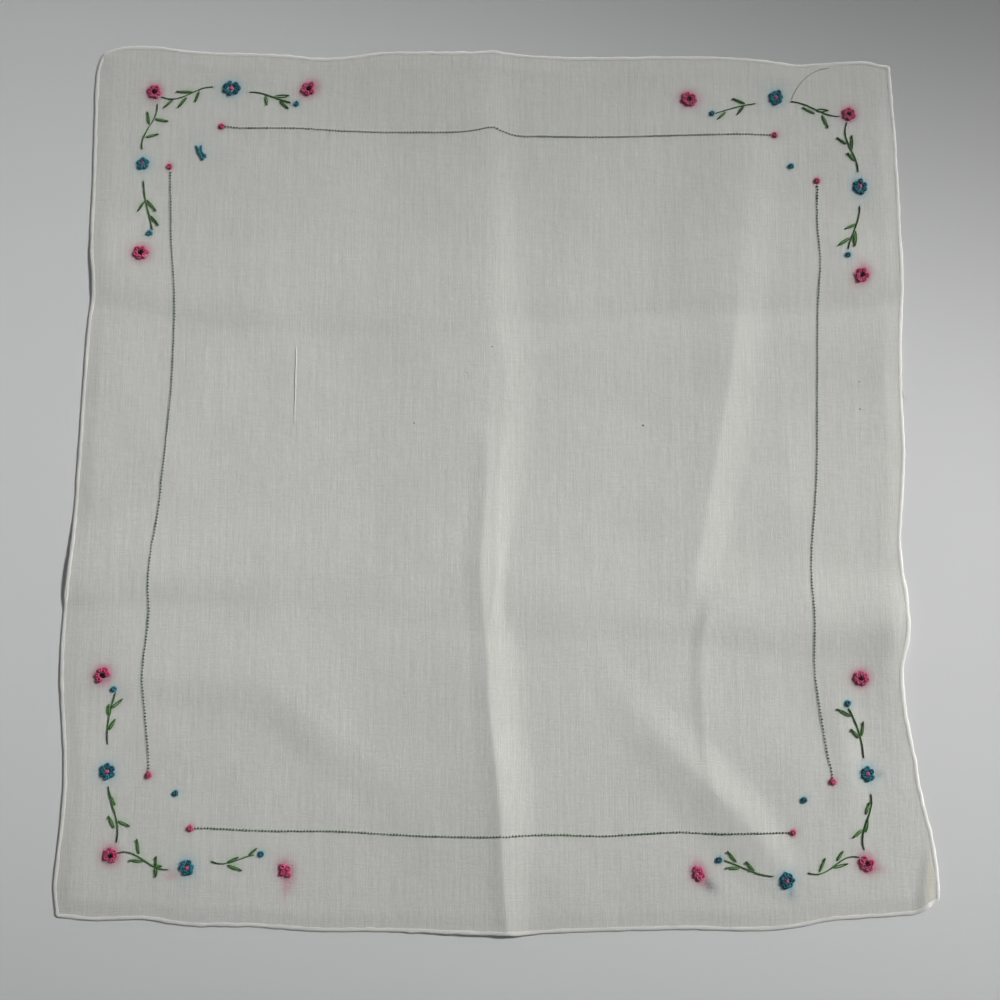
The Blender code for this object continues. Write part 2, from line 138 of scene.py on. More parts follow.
RIGHT_FOLD = fold(  # upright, a long spindle that runs down into a pucker
    (-50, 65, 0), (-42, 66.8, 0.5, 16, 8), (-34, 69.3, 0.75, 24, 9.5),
    (-20, 72.2, 0.9, 30, 10.5, 1.2, 1.6, 1.6), (-2, 75.4, 1, 32, 11.5, 1.2, 1.6, 1.7),
    (20, 79.8, 1, 32, 12.5, 1.2, 1.6, 1.8), (42, 83.6, 0.95, 32, 13, 1.25, 1.6, 1.8),
    (62, 85.4, 0.85, 32, 14, 1.5, 1.7, 1.9), (92, 87.5, 0.6, 30, 15, 1.9, 1.8, 2),
    (112, 90, 0.35, 28, 15, 2, 2, 2), (132, 91.5, 0, 25, 15, 2, 2, 2),
    flanks=(8, 5, 1.2, 1.6, 1.5),
)
LOWER_RIGHT_CREASE = fold(  # upright, from the pucker down to the diagonal fold
    (-116, 75, 0, 4, 7), (-103, 72.4, 0.16), (-92, 70.8, 0.22), (-78, 70.2, 0.26, 4, 8.5),
    (-66, 70.3, 0.3, 4.2, 8.5), (-57, 71, 0.34, 4.2), (-50, 72.6, 0.3, 3.8, 7), (-42, 75.4, 0, 3, 6),
    flanks=(4, 8, 1.2, 1.6, 1.5),
)
RIGHT_RIPPLE = fold(  # upright, a soft ripple beside the lower right corner
    (-132, 121, 0, 9, 9, 1.7), (-118, 120, 0.25), (-100, 119, 0.42, 9, 9, 1.5), (-86, 117, 0.3),
    (-70, 113, 0, 9, 9, 1.8),
    flanks=(9, 9, 1.6, 1.8, 1.8),
)
UPPER_BANK = fold(  # level, the bank above the upper crease: along is x, across is y
    (-150, 69.5, 0.42, 10), (-123, 66.5, 0.52, 10.5, 22, 2, 1.4), (-105, 62.2, 0.5, 10.5, 22, 2, 1.4),
    (-62, 59, 0.4), (-23, 57.5, 0.24, 10.5, 22, 2, 1.6), (0, 62, 0.24), (37, 63.5, 0.3),
    (66, 65.5, 0.34, 10.5, 22, 2, 1.6), (119, 66.5, 0.42, 10.5, 22, 2, 1.6), (136, 68.5, 0.48),
    (150, 69.5, 0.48),
    flanks=(10.5, 22, 2, 1.5, 2),
)
UPPER_SHELF = fold(  # level, the bank below the right half of the upper crease
    (-30, 37, 0), (0, 41, 0.2), (37, 42.5, 0.32), (66, 44.5, 0.42), (119, 45.5, 0.55),
    (136, 47.5, 0.65), (150, 48.5, 0.7),
    flanks=(24, 13, 2, 2, 1.5),
)
LOWER_BANK = fold(  # level, the bank above the lower crease, which is its lower foot
    (-152, -36.5, 0.75, 12), (-125, -35.2, 0.85, 12), (-109, -35, 0.6), (-88, -35.6, 0.45),
    (-60, -38.5, 0.32), (-30, -41.6, 0.25), (2, -45.8, 0.34), (30, -47.2, 0.4), (62, -47.6, 0.4),
    (78, -49, 0.7, 13, 24, 2, 1.5), (100, -51, 0.75, 14, 24, 2, 1.5), (118, -51, 0.55, 14, 22, 2, 1.5),
    (146, -51, 0.2, 13, 20, 2, 1.5),
    flanks=(11.5, 24, 2, 1.4, 2),
)
LEFT_SLANT = fold(  # level near the left hem, then slanting down to the middle of the cloth
    (-148, -72.5, 0.1), (-132, -71.5, 0.34, 9.5), (-110, -71, 0.46, 10.5, 22, 1.5),
    (-90, -71.5, 0.46, 12, 24, 1.5, 1.5), (-79, -74.6, 0.48, 14.5, 27, 1.5, 1.45),
    (-67, -81.5, 0.5, 17, 30, 1.5, 1.45), (-50, -92.5, 0.45, 17.5, 30, 1.5, 1.5),
    (-38, -102, 0.3, 15.5, 26), (-20, -109, 0, 12, 20, 1.7),
    flanks=(9, 22, 1.6, 1.6, 2),
)
RIGHT_SLANT = fold(  # the fan of cloth that slants down from the pucker to the lower right corner
    (30, -66, 0), (42, -77.5, 0.2, 18, 13), (55, -91, 0.5, 21, 15, 1.5, 1.6, 1.6),
    (68, -103.5, 0.85, 23, 16, 1.45, 1.5, 1.6), (79, -114.5, 0.98, 23, 17, 1.4, 1.5, 1.6),
    (90, -125, 0.72, 19, 16, 1.5), (104, -138, 0, 12, 12, 1.6, 1.6, 1.8),
    flanks=(16, 12, 1.6, 1.6, 1.7),
)
LIFTED_EDGE = fold(  # level, the cloth rising to the right hem, which stands clear of the table
    (98, -55, 0, 34, 20, 2, 1.6, 2), (112, -55, 0.3, 36, 20, 1.8, 1.6, 1.8),
    (126, -55, 0.9, 40, 20, 1.6, 1.5, 1.7), (136, -55, 1.6), (150, -55, 2.3, 46),
    flanks=(44, 20, 1.5, 1.4, 1.6),
)
CORNER_CURL = fold(  # upright, the hem turned in beside the lower right corner
    (-152, 143.4, 0.35), (-144.5, 143.9, 0.5), (-137, 144.8, 0.5, 3.5, 2.2), (-131, 145.6, 0.35, 3, 2),
    (-125, 146.4, 0, 3, 2),
    flanks=(3.5, 2.4, 1.4, 1.5, 1.5),
)
UPRIGHT_FOLDS = (CENTRE_CREASE, CENTRE_RISE, RIGHT_FOLD, LOWER_RIGHT_CREASE, RIGHT_RIPPLE, CORNER_CURL)
LEVEL_FOLDS = (UPPER_BANK, UPPER_SHELF, LOWER_BANK, LEFT_SLANT, RIGHT_SLANT, LIFTED_EDGE)
# the line the sheet's mesh follows on the right: the crease, and on from its upper end the fold
RIGHT_GUIDE = tuple(row[:2] for row in LOWER_RIGHT_CREASE[:6] + RIGHT_FOLD[3:])

# Creases too fine for the solid, in the same columns. A height below zero is a trough.
FINE_UPRIGHT = (
    fold(  # the thin right border of the centre crease
        (-56, -1.5, 0, 1.8, 2.4, 1.3), (-47, -0.8, 0.12, 1.8, 2.2, 1.3),
        (-34, 0.6, 0.14, 1.8, 2.2, 1.3), (-17, 0.6, 0.06, 2, 2.4, 1.3), (7, 2.2, 0.09, 2.4, 2.6, 1.3),
        (31, 3.8, 0.07, 2.8, 2.8), (59, 0.6, 0.04), (87, 0.9, 0.04), (100, 0.9, 0),
        flanks=(3, 3, 1.4, 1.5, 1.5),
    ),
    fold(  # the toe of the right-hand fold
        (-48, 64, 0, 2.2, 3), (-36, 64.4, -0.05, 2.2, 3), (-10, 65.8, -0.06), (24, 67.5, -0.06),
        (60, 69.5, -0.06), (95, 73, -0.05), (118, 75, 0, 2.5),
        flanks=(2.4, 3.2, 1.5, 1.5, 1.5),
    ),
    fold(  # a soft streak to the right of it
        (-34, 101, 0), (-10, 102, 0.12), (14, 102.6, 0.12), (32, 103, 0),
        flanks=(7, 6, 2, 2, 2),
    ),
)
FINE_LEVEL = (
    fold(  # a second faint band over the upper crease
        (-116, 75, 0), (-90, 75.4, 0.1), (-40, 75.4, 0.1), (-10, 76, 0),
        flanks=(5, 9, 2, 1.5, 2),
    ),
    fold(  # a short pinch below the lower crease
        (-79.6, -63.4, 0), (-77, -60.5, 0.12), (-72, -54.6, 0.12), (-69, -51.2, 0),
        flanks=(1.2, 1.4, 1.3, 1.5, 1.5),
    ),
)

# Strips of the mesh: how many, and how close they lie as (share of the stretch, density)
LEFT_STRIPS = (100, ((0.0, 1.5), (0.36, 1.5), (0.5, 0.85), (0.92, 0.9), (0.97, 1.9), (1.0, 2.8)))
MIDDLE_STRIPS = (48, ((0.0, 2.8), (0.06, 1.8), (0.16, 0.9), (0.84, 0.9), (0.94, 1.6), (1.0, 2.2)))
RIGHT_STRIPS = (54, ((0.0, 2.2), (0.06, 1.3), (0.18, 0.9), (0.3, 0.9), (0.45, 1.35), (1.0, 1.35)))
ROWS = (204, ((0.0, 1.5), (0.18, 1.5), (0.27, 0.9), (0.73, 0.9), (0.82, 1.5), (1.0, 1.5)))

# Slow waves of the lawn between its folds: how many, their lengths, and their steepest slope together
WAVES = 34
WAVE_LENGTHS = (18.0, 110.0)
WAVE_SLOPE = 0.014

# Flowers: (x, y, petals, ring radius, turn of the first petal, arc left bare, stretch, its lean).
# Angles are in degrees, against the clock from +X.
PINK_FLOWERS = (
    (-123.5, 138.4, 6, 1.7, 20, 0, 1.05, 90), (-67.6, 139.7, 5, 1.6, 10, 60, 1.25, 40),
    (-126.3, 78.3, 6, 1.75, 40, 0, 1.1, 0), (127.7, 130, 6, 1.5, 0, 0, 1, 0),
    (70, 135.7, 7, 1.8, 15, 0, 1.08, 150), (130.3, 70.2, 6, 1.65, 30, 40, 1.2, 45),
    (-129.1, -130.2, 6, 1.6, -110, 50, 1.1, 110), (-133.9, -70.3, 5, 1.7, -60, 90, 1.1, 20),
    (124.6, -132.8, 6, 1.55, 60, 40, 1.2, 120), (124.7, -71.3, 7, 1.65, 5, 0, 1.05, 160),
)
BLUE_FLOWERS = (
    (-95.8, 139.8, 7, 1.95, 25, 0, 1.22, 10), (-126.8, 111.5, 5, 1.45, 55, 0, 1.05, 30),
    (101.6, 136.3, 7, 1.6, 80, 0, 1.2, 75), (130.7, 102.8, 7, 1.75, 110, 30, 1.22, 100),
    (-131.3, -102.6, 6, 1.75, 0, 0, 1.05, 150), (-103.2, -134, 6, 1.65, 95, 0, 1.1, 110),
    (126, -103.4, 6, 1.6, 60, 0, 1.12, 95), (97.6, -138.2, 7, 1.75, 75, 0, 1.05, 60),
)
PINK_CLUSTERS = (  # knots with no dark middle
    (-70.3, -135.1, 4, 1.15, 85, 0, 1.35, 110), (68.1, -136, 5, 1.15, 90, 0, 1.4, 105),
)
PETAL = 2.3  # across a petal's knot
DARK_MIDDLE = 2.3
DARK_TUCK = (0.55, 0.35)  # half the stitch across each dark middle
PINK_MIDDLE = 1.6

# Single knots: (x, y, across)
BLUE_KNOTS = (
    (-72, 134, 1.9), (-123.5, 85.5, 2.1), (78.3, 130.3, 1.9), (125.5, 77.5, 1.9), (106.2, 110.4, 2),
    (-78.5, -129.7, 2), (-129.9, -75, 2), (-107.9, -109.7, 2), (75.1, -131.5, 2.1), (120, -79.8, 2.1),
    (104.1, -112, 2.1),
)
LINE_END_KNOTS = (
    (-98.8, 125.4, 2.3), (100.7, 122.2, 2.2), (-102.5, -121.2, 2.4), (100.2, -122.7, 2.2),
    (-117.2, 110.3, 2.3), (-117.2, -103.8, 2.4), (115.4, 105, 2.3), (114.1, -105.9, 2.5),
)

# One stray blue stitch of five strands inside the upper left corner: each from and to
STRAY_FROM = ((-108.0, 118.4), (-107.1, 117.6), (-107.6, 116.8), (-105.9, 118.5), (-106.4, 116.0))
STRAY_TO = ((-105.6, 114.6), (-104.6, 114.4), (-105.2, 113.4), (-105.7, 115.6), (-103.9, 113.4))

# Stems: from, to, and how far they bow to the left of the way at one and two thirds of it. Leaves:
# (share of the stem, angle off its way, length, gap to the left of it, breadth, filled or open).
FILLED, OPEN = 1, 0
LEAF_ROOT_SHARE = 0.5  # of its gap, that is left open between the stem and the root of a leaf
SPRAYS = (
    ((-121.1, 136.6), (-102.3, 140.3), (-1.8, -0.3), (
        (0.61, 152, 5.6, 0.1, 0.9, FILLED), (0.21, -142, 3.9, -0.5, 0.9, FILLED),
        (0.46, -160, 4.2, -1.4, 1.0, FILLED), (0.72, -138, 3.3, -1.2, 0.8, OPEN),
    )),
    ((-122.3, 133.9), (-127.3, 116.8), (0.6, -0.7), (
        (0.47, -148, 4.1, -1.1, 0.9, FILLED), (0.32, 106, 4.2, 0.6, 0.9, FILLED),
        (0.74, 130, 3.9, 1.3, 0.9, FILLED),
    )),
    ((-89.3, 138.4), (-74.2, 134.6), (0.7, 0.2), (
        (0.60, 25, 4.9, 0.3, 1.3, OPEN), (0.75, -14, 3.8, -1.2, 1.0, FILLED),
        (0.40, -56, 2.7, -1.1, 1.0, FILLED), (0.72, 4, 4.0, -0.2, 0.6, OPEN),
    )),
    ((-126.3, 105.0), (-122.5, 86.8), (-0.5, -0.2), (
        (0.41, -40, 3.6, -1.1, 0.8, FILLED), (0.39, 25, 4.9, 0.6, 0.9, FILLED),
        (0.71, 24, 4.4, 0.4, 0.9, OPEN),
    )),
    ((124.6, 129.1), (106.7, 134.8), (0.5, -0.4), (
        (0.47, -151, 4.0, 0.4, 1.4, OPEN), (0.47, -19, 4.9, 3.1, 0.8, FILLED),
        (0.34, 145, 4.4, 1.8, 0.9, FILLED),
    )),
    ((127.0, 127.1), (130.2, 108.1), (-1.6, -0.2), (
        (0.42, -157, 3.4, -1.4, 0.8, FILLED), (0.55, 155, 4.9, 0.4, 1.1, OPEN),
        (0.77, -160, 3.5, -0.7, 0.9, FILLED),
    )),
    ((94.1, 134.0), (79.5, 130.3), (-0.4, -0.3), (
        (0.76, 15, 3.5, 1.3, 0.9, FILLED), (0.29, 40, 3.6, 0.3, 0.9, OPEN),
        (0.25, -28, 4.1, -1.2, 0.8, FILLED),
    )),
    ((130.4, 95.6), (125.6, 79.6), (0.7, 0.2), (
        (0.41, -45, 3.9, -0.2, 1.0, FILLED), (0.56, 20, 5.3, 0.3, 1.5, FILLED),
        (0.76, -29, 4.3, -1.2, 1.2, FILLED),
    )),
    ((-127.3, -125.9), (-130.6, -107.4), (-1.2, -0.4), (
        (0.64, 21, 3.6, -1.6, 0.9, FILLED), (0.25, 3, 3.8, 2.4, 1.0, FILLED),
        (0.36, -127, 3.9, -0.6, 0.9, FILLED),
    )),
    ((-126.8, -129.3), (-109.6, -134.7), (1.3, -0.2), (
        (0.38, 134, 4.0, 1.4, 0.9, FILLED), (0.51, -159, 3.9, -1.2, 0.9, FILLED),
        (0.77, 114, 3.0, 0.2, 0.6, OPEN), (0.77, -65, 3.0, 0.2, 1.1, FILLED),
        (0.72, 20, 2.6, 0.3, 1.1, FILLED),
    )),
    ((-131.5, -93.7), (-129.3, -76.2), (0.9, 0.8), (
        (0.56, 11, 3.3, 0.2, 1.5, FILLED), (0.70, -35, 4.3, -0.4, 1.1, OPEN),
        (0.28, -21, 3.6, -0.9, 1.2, FILLED),
    )),
    ((-95.4, -131.9), (-80.8, -130.0), (-1.5, -0.7), (
        (0.37, 12, 3.8, 0.4, 0.9, FILLED), (0.87, 23, 3.2, 0.4, 0.9, FILLED),
        (0.36, -23, 4.7, -1.2, 1.0, FILLED),
    )),
    ((123.9, -128.5), (126.8, -110.0), (0.9, -0.4), (
        (0.61, -14, 4.1, 2.3, 0.9, FILLED), (0.32, 10, 4.2, -1.1, 1.2, FILLED),
        (0.35, 153, 3.6, 1.1, 1.1, FILLED),
    )),
    ((122.3, -130.8), (104.7, -135.6), (-0.7, 1.4), (
        (0.41, -173, 3.3, -1.6, 0.9, FILLED), (0.53, 162, 4.7, 0.5, 1.0, OPEN),
        (0.80, -130, 4.3, -1.2, 0.7, FILLED),
    )),
    ((124.7, -98.2), (120.2, -81.4), (-1.0, -0.9), (
        (0.84, 33, 4.7, 1.1, 1.1, OPEN), (0.40, 16, 3.2, 1.4, 0.9, FILLED),
        (0.42, -19, 4.4, -0.8, 0.9, FILLED),
    )),
    ((93.1, -136.9), (76.8, -131.7), (0.6, 0.2), (
        (0.77, -19, 3.9, -1.6, 0.8, FILLED), (0.39, -28, 3.6, -0.5, 0.9, FILLED),
        (0.67, 13, 4.0, 1.3, 1.0, FILLED),
    )),
)

# The fine line of short slanted stitches along each side: (along, across), as for the edges
LINE_TOP = (
    (-97.6, 125.3), (-90.6, 124.8), (-75.4, 124.8), (-56.2, 123.7), (-27.7, 123.1), (-15.7, 123.1),
    (-6.4, 123.9), (-1, 124.9), (2, 123.7), (6.7, 122.1), (17.1, 121.7), (36.6, 121.4), (70.2, 122.2),
    (86.9, 122.5), (99.6, 122.2),
)
LINE_BOTTOM = (
    (-101, -121.2), (-76.6, -122.1), (-52.3, -122.3), (-38.8, -123), (-24.3, -123.7), (-5.8, -123.9),
    (21.1, -123.4), (34.3, -123.8), (61.9, -122.6), (73.7, -123), (99.2, -122.7),
)
LINE_LEFT = (
    (-102.6, -117.3), (-85.8, -118.9), (-77.1, -119.9), (-71.4, -120.4), (-48.2, -119.1),
    (-41, -119.5), (-34.5, -119.4), (-12.2, -116.9), (13.1, -114.9), (40.3, -113.7), (59.1, -113.7),
    (72.2, -114.6), (81.8, -115.6), (95.9, -116.2), (109, -116.8),
)
LINE_RIGHT = (
    (-104.6, 113.9), (-97.2, 112.6), (-86.2, 111.1), (-76.4, 109.8), (-67.6, 109.1), (-49.3, 109.5),
    (-39.3, 109), (-28.9, 109.3), (-11.5, 111.1), (0, 112), (19.1, 112.8), (42.4, 113.5), (66, 114.8),
    (75, 115.6), (91, 115), (103.8, 115.4),
)

# Dye that has bled and thread that shows through from the back:
# (x, y, half length, half breadth, lean in degrees, colour, strength)
ROSE = (0.60, 0.17, 0.28)
TEAL = (0.12, 0.33, 0.40)
SKY = (0.30, 0.56, 0.64)
LEAF_SHADE = (0.27, 0.46, 0.22)
SMOKE = (0.24, 0.24, 0.27)
STRAW = (0.52, 0.48, 0.32)
SMEARS = (
    (-107.8, -136.3, 3.2, 1.8, 10, ROSE, 0.34),
    (-69.5, -140.2, 3.4, 1.4, 85, ROSE, 0.55),
    (128.0, -134.4, 3.0, 1.4, -15, ROSE, 0.40),
    (71.4, -139.6, 3.0, 1.7, -45, SMOKE, 0.85),
    (99.1, -142.5, 2.6, 1.1, -75, TEAL, 0.60),
    (129.8, -103.4, 1.2, 1.0, 0, SMOKE, 0.60),
    (145.6, -139.0, 7.5, 1.1, 84, STRAW, 0.60),
    (130.6, 74.4, 1.8, 1.2, 90, ROSE, 0.22),
    (-133.0, -105.0, 2.4, 1.6, 30, ROSE, 0.10),
    (-106.0, 116.3, 3.4, 2.1, -60, SKY, 0.42),
)
# Dye round the stitches: (reach past the ring or the thread, strength, how sharply it ends)
PINK_HALOS = ((1.7, 0.74, 4.0), (2.3, 0.24, 2.0))
BLUE_HALOS = ((1.6, 0.62, 4.0), (2.3, 0.28, 2.0))
KNOT_HALOS = ((1.5, 0.55, 4.0), (2.2, 0.2, 2.0))
LEAF_HALO = (1.3, 0.34)  # half its breadth, and strength
OVAL = 2.0  # how sharply a plain spot ends
STEM_END_SPOT = (0.7, 0.34)  # half its length, and strength

# Loose threads: (from, where it bends to, to, radius, tone from grey to white)
LOOSE_THREADS = (
    ((107.1, 135.3), (111.8, 147.0), (121.6, 147.6), 0.17, 0.42),  # the tail of a stem's thread
    ((-70.4, 44.3), (-70.2, 30.0), (-70.4, 16.6), 0.16, 1.0),  # a thick thread in the weave
    ((-59.6, 125.0), (-59.6, 121.5), (-62.2, 118.6), 0.07, 0.3),
    ((-10.8, 35.2), (-8.6, 34.4), (-9.8, 31.8), 0.07, 0.3),
    ((-31.8, -75.0), (-30.2, -75.6), (-30.8, -78.0), 0.07, 0.3),
    ((-142.6, 10.6), (-141.2, 9.8), (-142.0, 7.4), 0.07, 0.3),
    ((-28.8, 16.8), (-28.4, 17.0), (-28.0, 16.6), 0.16, 0.0),
    ((51.4, 16.2), (51.8, 16.2), (52.0, 15.8), 0.16, 0.0),
    ((-1.3, 44.2), (-1.0, 44.0), (-0.8, 43.6), 0.15, 0.1),
    ((127.6, 31.6), (127.9, 31.8), (128.1, 31.4), 0.16, 0.1),
    ((127.6, 22.0), (127.9, 22.0), (128.1, 21.6), 0.15, 0.1),
    ((142.6, 28.4), (143.8, 27.6), (144.6, 25.4), 0.08, 0.9),
)

# Colours, as a surface would have them in even white light
LINEN_PALE = (0.78, 0.785, 0.75)
LINEN_DEEP = (0.71, 0.715, 0.68)
HEM_PALE = (0.9, 0.89, 0.83)
HEM_DEEP = (0.79, 0.775, 0.71)
PINK_PALE = (0.74, 0.19, 0.33)
PINK_DEEP = (0.46, 0.03, 0.11)
DARK_PALE = (0.04, 0.01, 0.02)
DARK_DEEP = (0.012, 0.003, 0.006)
BLUE_PALE = (0.065, 0.30, 0.37)
BLUE_DEEP = (0.016, 0.075, 0.12)
GREEN_PALE = (0.22, 0.44, 0.15)
GREEN_DEEP = (0.035, 0.09, 0.035)
FLOOR_PALE = (0.715, 0.725, 0.73)
FLOOR_DEEP = (0.68, 0.69, 0.695)
LOOSE_PALE = (0.86, 0.86, 0.83)
LOOSE_DEEP = (0.09, 0.10, 0.09)


# Tables and folds


def smooth_value(where, rows, column):
    """Reads a column of a table at any place along it, as a cubic curve through its rows."""
    table = np.array(rows, float)
    along = table[:, 0]
    value = table[:, column]
    step = np.diff(along)
    slope = np.diff(value) / step
    tangent = np.zeros(len(along))
    tangent[1:-1] = (slope[:-1] * step[1:] + slope[1:] * step[:-1]) / (step[:-1] + step[1:])
    tangent[1:-1] = np.where(slope[:-1] * slope[1:] <= 0.0, 0.0, tangent[1:-1])
    place = np.clip(where, along[0], along[-1])
    piece = np.clip(np.searchsorted(along, place, side="right") - 1, 0, len(step) - 1)
    width = step[piece]
    t = (place - along[piece]) / width
    start = (1.0 + 2.0 * t) * (1.0 - t) ** 2 * value[piece]
    end = t**2 * (3.0 - 2.0 * t) * value[piece + 1]
    leave = t * (1.0 - t) ** 2 * width * tangent[piece]
    arrive = t**2 * (t - 1.0) * width * tangent[piece + 1]
    return start + end + leave + arrive


def one_fold(along, across, rows):
    """Height of one fold: height * (1 - r ** top) ** foot, with r the share of a flank's width."""
    values = (smooth_value(along, rows, column) for column in range(1, 8))
    crest, height, before, after, top, near_foot, far_foot = values
    offset = across - crest
    reach = np.clip(np.abs(offset) / np.where(offset < 0.0, before, after), 0.0, 1.0)
    return height * (1.0 - reach**top) ** np.where(offset < 0.0, near_foot, far_foot)


def fold_height(x, y, upright=UPRIGHT_FOLDS, level=LEVEL_FOLDS):
    """Height of all the given folds together. Those of the solid make its underside."""
    return sum(one_fold(y, x, rows) for rows in upright) + sum(one_fold(x, y, rows) for rows in level)


def make_waves():
    """Plane waves in all directions, each as long as chance has it and as steep as the others."""
    chance = np.random.default_rng(7)
    low, high = WAVE_LENGTHS
    length = low * (high / low) ** chance.uniform(0.0, 1.0, WAVES)
    heading = chance.uniform(0.0, np.pi, WAVES)
    phase = chance.uniform(0.0, 2.0 * np.pi, WAVES)
    pull = 2.0 * np.pi / length
    rise = WAVE_SLOPE / pull / math.sqrt(WAVES / 2.0)
    return pull * np.cos(heading), pull * np.sin(heading), phase, rise


WAVE_X, WAVE_Y, WAVE_PHASE, WAVE_RISE = make_waves()


def slow_waves(x, y):
    """Sum of the plane waves, each its rise times the sine of its phase at the place."""
    total = np.zeros(np.shape(x))
    for pull_x, pull_y, phase, rise in zip(WAVE_X, WAVE_Y, WAVE_PHASE, WAVE_RISE):
        total += rise * np.sin(pull_x * x + pull_y * y + phase)
    return total


def edge_distance(x, y):
    """How far in from the nearest edge a place lies."""
    sides = (
        x - smooth_value(y, LEFT_EDGE, 1),
        smooth_value(y, RIGHT_EDGE, 1) - x,
        y - smooth_value(x, BOTTOM_EDGE, 1),
        smooth_value(x, TOP_EDGE, 1) - y,
    )
    return np.min(sides, axis=0)


def cloth_middle(x, y):
    """Height of the middle of the lawn's thickness.

    It is the solid's folds, the fine creases and the slow waves, which never reach the table, and
    over the last stretch to the edge it goes over to the height of the hem's middle.
    """
    folds = fold_height(x, y)
    low = CLOTH_LIFT + 0.5 * CLOTH
    loose = fold_height(x, y, FINE_UPRIGHT, FINE_LEVEL) + slow_waves(x, y) + LOOSE_RISE
    # a soft floor: what would sink into the table lies just over it
    body = folds + low + 0.5 * (loose + np.sqrt(loose**2 + SOFT_FLOOR))
    hem = folds + HEM_RADIUS * HEM_FLATNESS + HEM_GAP
    near = np.clip(1.0 - edge_distance(x, y) / EDGE_RISE, 0.0, 1.0)
    near = near**2 * (3.0 - 2.0 * near)
    return body + (hem - body) * near


def cloth_top(flat):
    """Height of the lawn's upper side at flat places, which have x and y on their last axis."""
    return cloth_middle(flat[..., 0], flat[..., 1]) + 0.5 * CLOTH


# Directions and places


def unit(vectors):
    return vectors / np.linalg.norm(vectors, axis=-1, keepdims=True)


def turned_left(flat):
    """Flat vectors turned by a quarter, against the clock."""
    return np.stack([-flat[..., 1], flat[..., 0]], axis=-1)


def turned(x, y, angle):
    """Flat places turned about the origin, against the clock."""
    cos, sin = np.cos(angle), np.sin(angle)
    return np.stack([x * cos - y * sin, x * sin + y * cos], axis=-1)


def lifted(flat, height):
    return np.concatenate([flat, height[..., None]], axis=-1)


# Meshes


def linked(name, data):
    """A new object in the scene."""
    piece = bpy.data.objects.new(name, data)
    bpy.context.scene.collection.objects.link(piece)
    return piece


def new_piece(name, points, faces, uv_name, uv, material, attributes):
    """A mesh object at the origin from points in millimetres. uv has a row for each face corner."""
    mesh = bpy.data.meshes.new(name)
    mesh.from_pydata(points * MM, [], faces)
    layer = mesh.uv_layers.new(name=uv_name)
    layer.data.foreach_set("uv", np.asarray(uv, np.float32).ravel())
    for label, values in attributes.items():
        wide = np.ndim(values) == 2
        attribute = mesh.attributes.new(label, "FLOAT_COLOR" if wide else "FLOAT", "POINT")
        attribute.data.foreach_set("color" if wide else "value", np.asarray(values, np.float32).ravel())
    mesh.shade_smooth()
    mesh.materials.append(material)
    piece = linked(name, mesh)
    return piece


def by_corner(own, beside):
    """What tubes() has at its points, by face corner: the walls between rings, then the ends.

    own has the values of a wall's near side and beside those of its far side, which is one spoke on.
    """
    walls = np.stack([own[:, :-1], beside[:, :-1], beside[:, 1:], own[:, 1:]], axis=-1)
    return walls.ravel(), np.concatenate([own[:, 0, ::-1].ravel(), own[:, -1].ravel()])


def tubes(paths, radii, sides, tone, flatness=1.0):
    """Closed tubes along many paths at once, as (points, faces, uv, tone).

    paths is (tube, point, xyz), radii (tube, point). Round each point of a path stands a ring of
    spokes: the first spoke is the last ring's with its part along the way taken out, so that the
    tube doesn't twist, and spoke k is turned from it by k / sides of a turn. Each ring's corners
    are joined to the next ring's, and a flat face closes each end. The uv is the length along the
    path in millimetres and the share of a turn. flatness scales the rings' height.
    """
    count, length = paths.shape[:2]
    way = unit(np.gradient(paths, axis=1))
    first = np.cross(np.array([0.0, 0.0, 1.0]), way[:, 0]) + 1e-6
    spokes = np.empty_like(paths)
    for index in range(length):
        along = np.sum(first * way[:, index], axis=1, keepdims=True)
        first = unit(first - along * way[:, index])
        spokes[:, index] = first
    second = np.cross(way, spokes)
    turn = 2.0 * np.pi * np.arange(sides) / sides
    ring = np.cos(turn)[:, None] * spokes[:, :, None] + np.sin(turn)[:, None] * second[:, :, None]
    points = paths[:, :, None] + radii[:, :, None, None] * (ring * np.array([1.0, 1.0, flatness]))

    number = np.arange(count * length * sides).reshape(count, length, sides)
    walls, ends = by_corner(number, np.roll(number, -1, axis=2))
    faces = walls.reshape(-1, 4).tolist() + ends.reshape(-1, sides).tolist()

    step = np.linalg.norm(np.diff(paths, axis=1), axis=2)
    run = np.concatenate([np.zeros((count, 1)), np.cumsum(step, axis=1)], axis=1)
    run = np.broadcast_to(run[:, :, None], number.shape)
    share = np.broadcast_to(np.arange(sides) / sides, number.shape)
    run_by_corner = np.concatenate(by_corner(run, run))
    share_by_corner = np.concatenate(by_corner(share, share + 1.0 / sides))
    uv = np.stack([run_by_corner, share_by_corner], axis=-1)
    tone = np.broadcast_to(np.reshape(tone, (-1, 1, 1)), number.shape)
    return points.reshape(-1, 3), faces, uv, tone.ravel()


def thread_piece(name, parts, material):
    """One piece from several results of tubes()."""
    points, faces, uv, tone = zip(*parts)
    starts = np.cumsum([0] + [len(part) for part in points]).tolist()
    faces = [[corner + start for corner in face] for part, start in zip(faces, starts) for face in part]
    points, uv, tone = (np.concatenate(values) for values in (points, uv, tone))
    return new_piece(name, points, faces, "thread", uv, material, {"tone": tone})


# Sheet


def spread(strips, density):
    """Shares from 0 to 1 of a stretch cut in strips, which lie closer where the density is higher."""
    t = np.linspace(0.0, 1.0, 400)
    thick = np.interp(t, *np.transpose(density))
    sum_so_far = np.concatenate([[0.0], np.cumsum(0.5 * (thick[1:] + thick[:-1]))])
    return np.interp(np.linspace(0.0, sum_so_far[-1], strips + 1), sum_so_far, t)


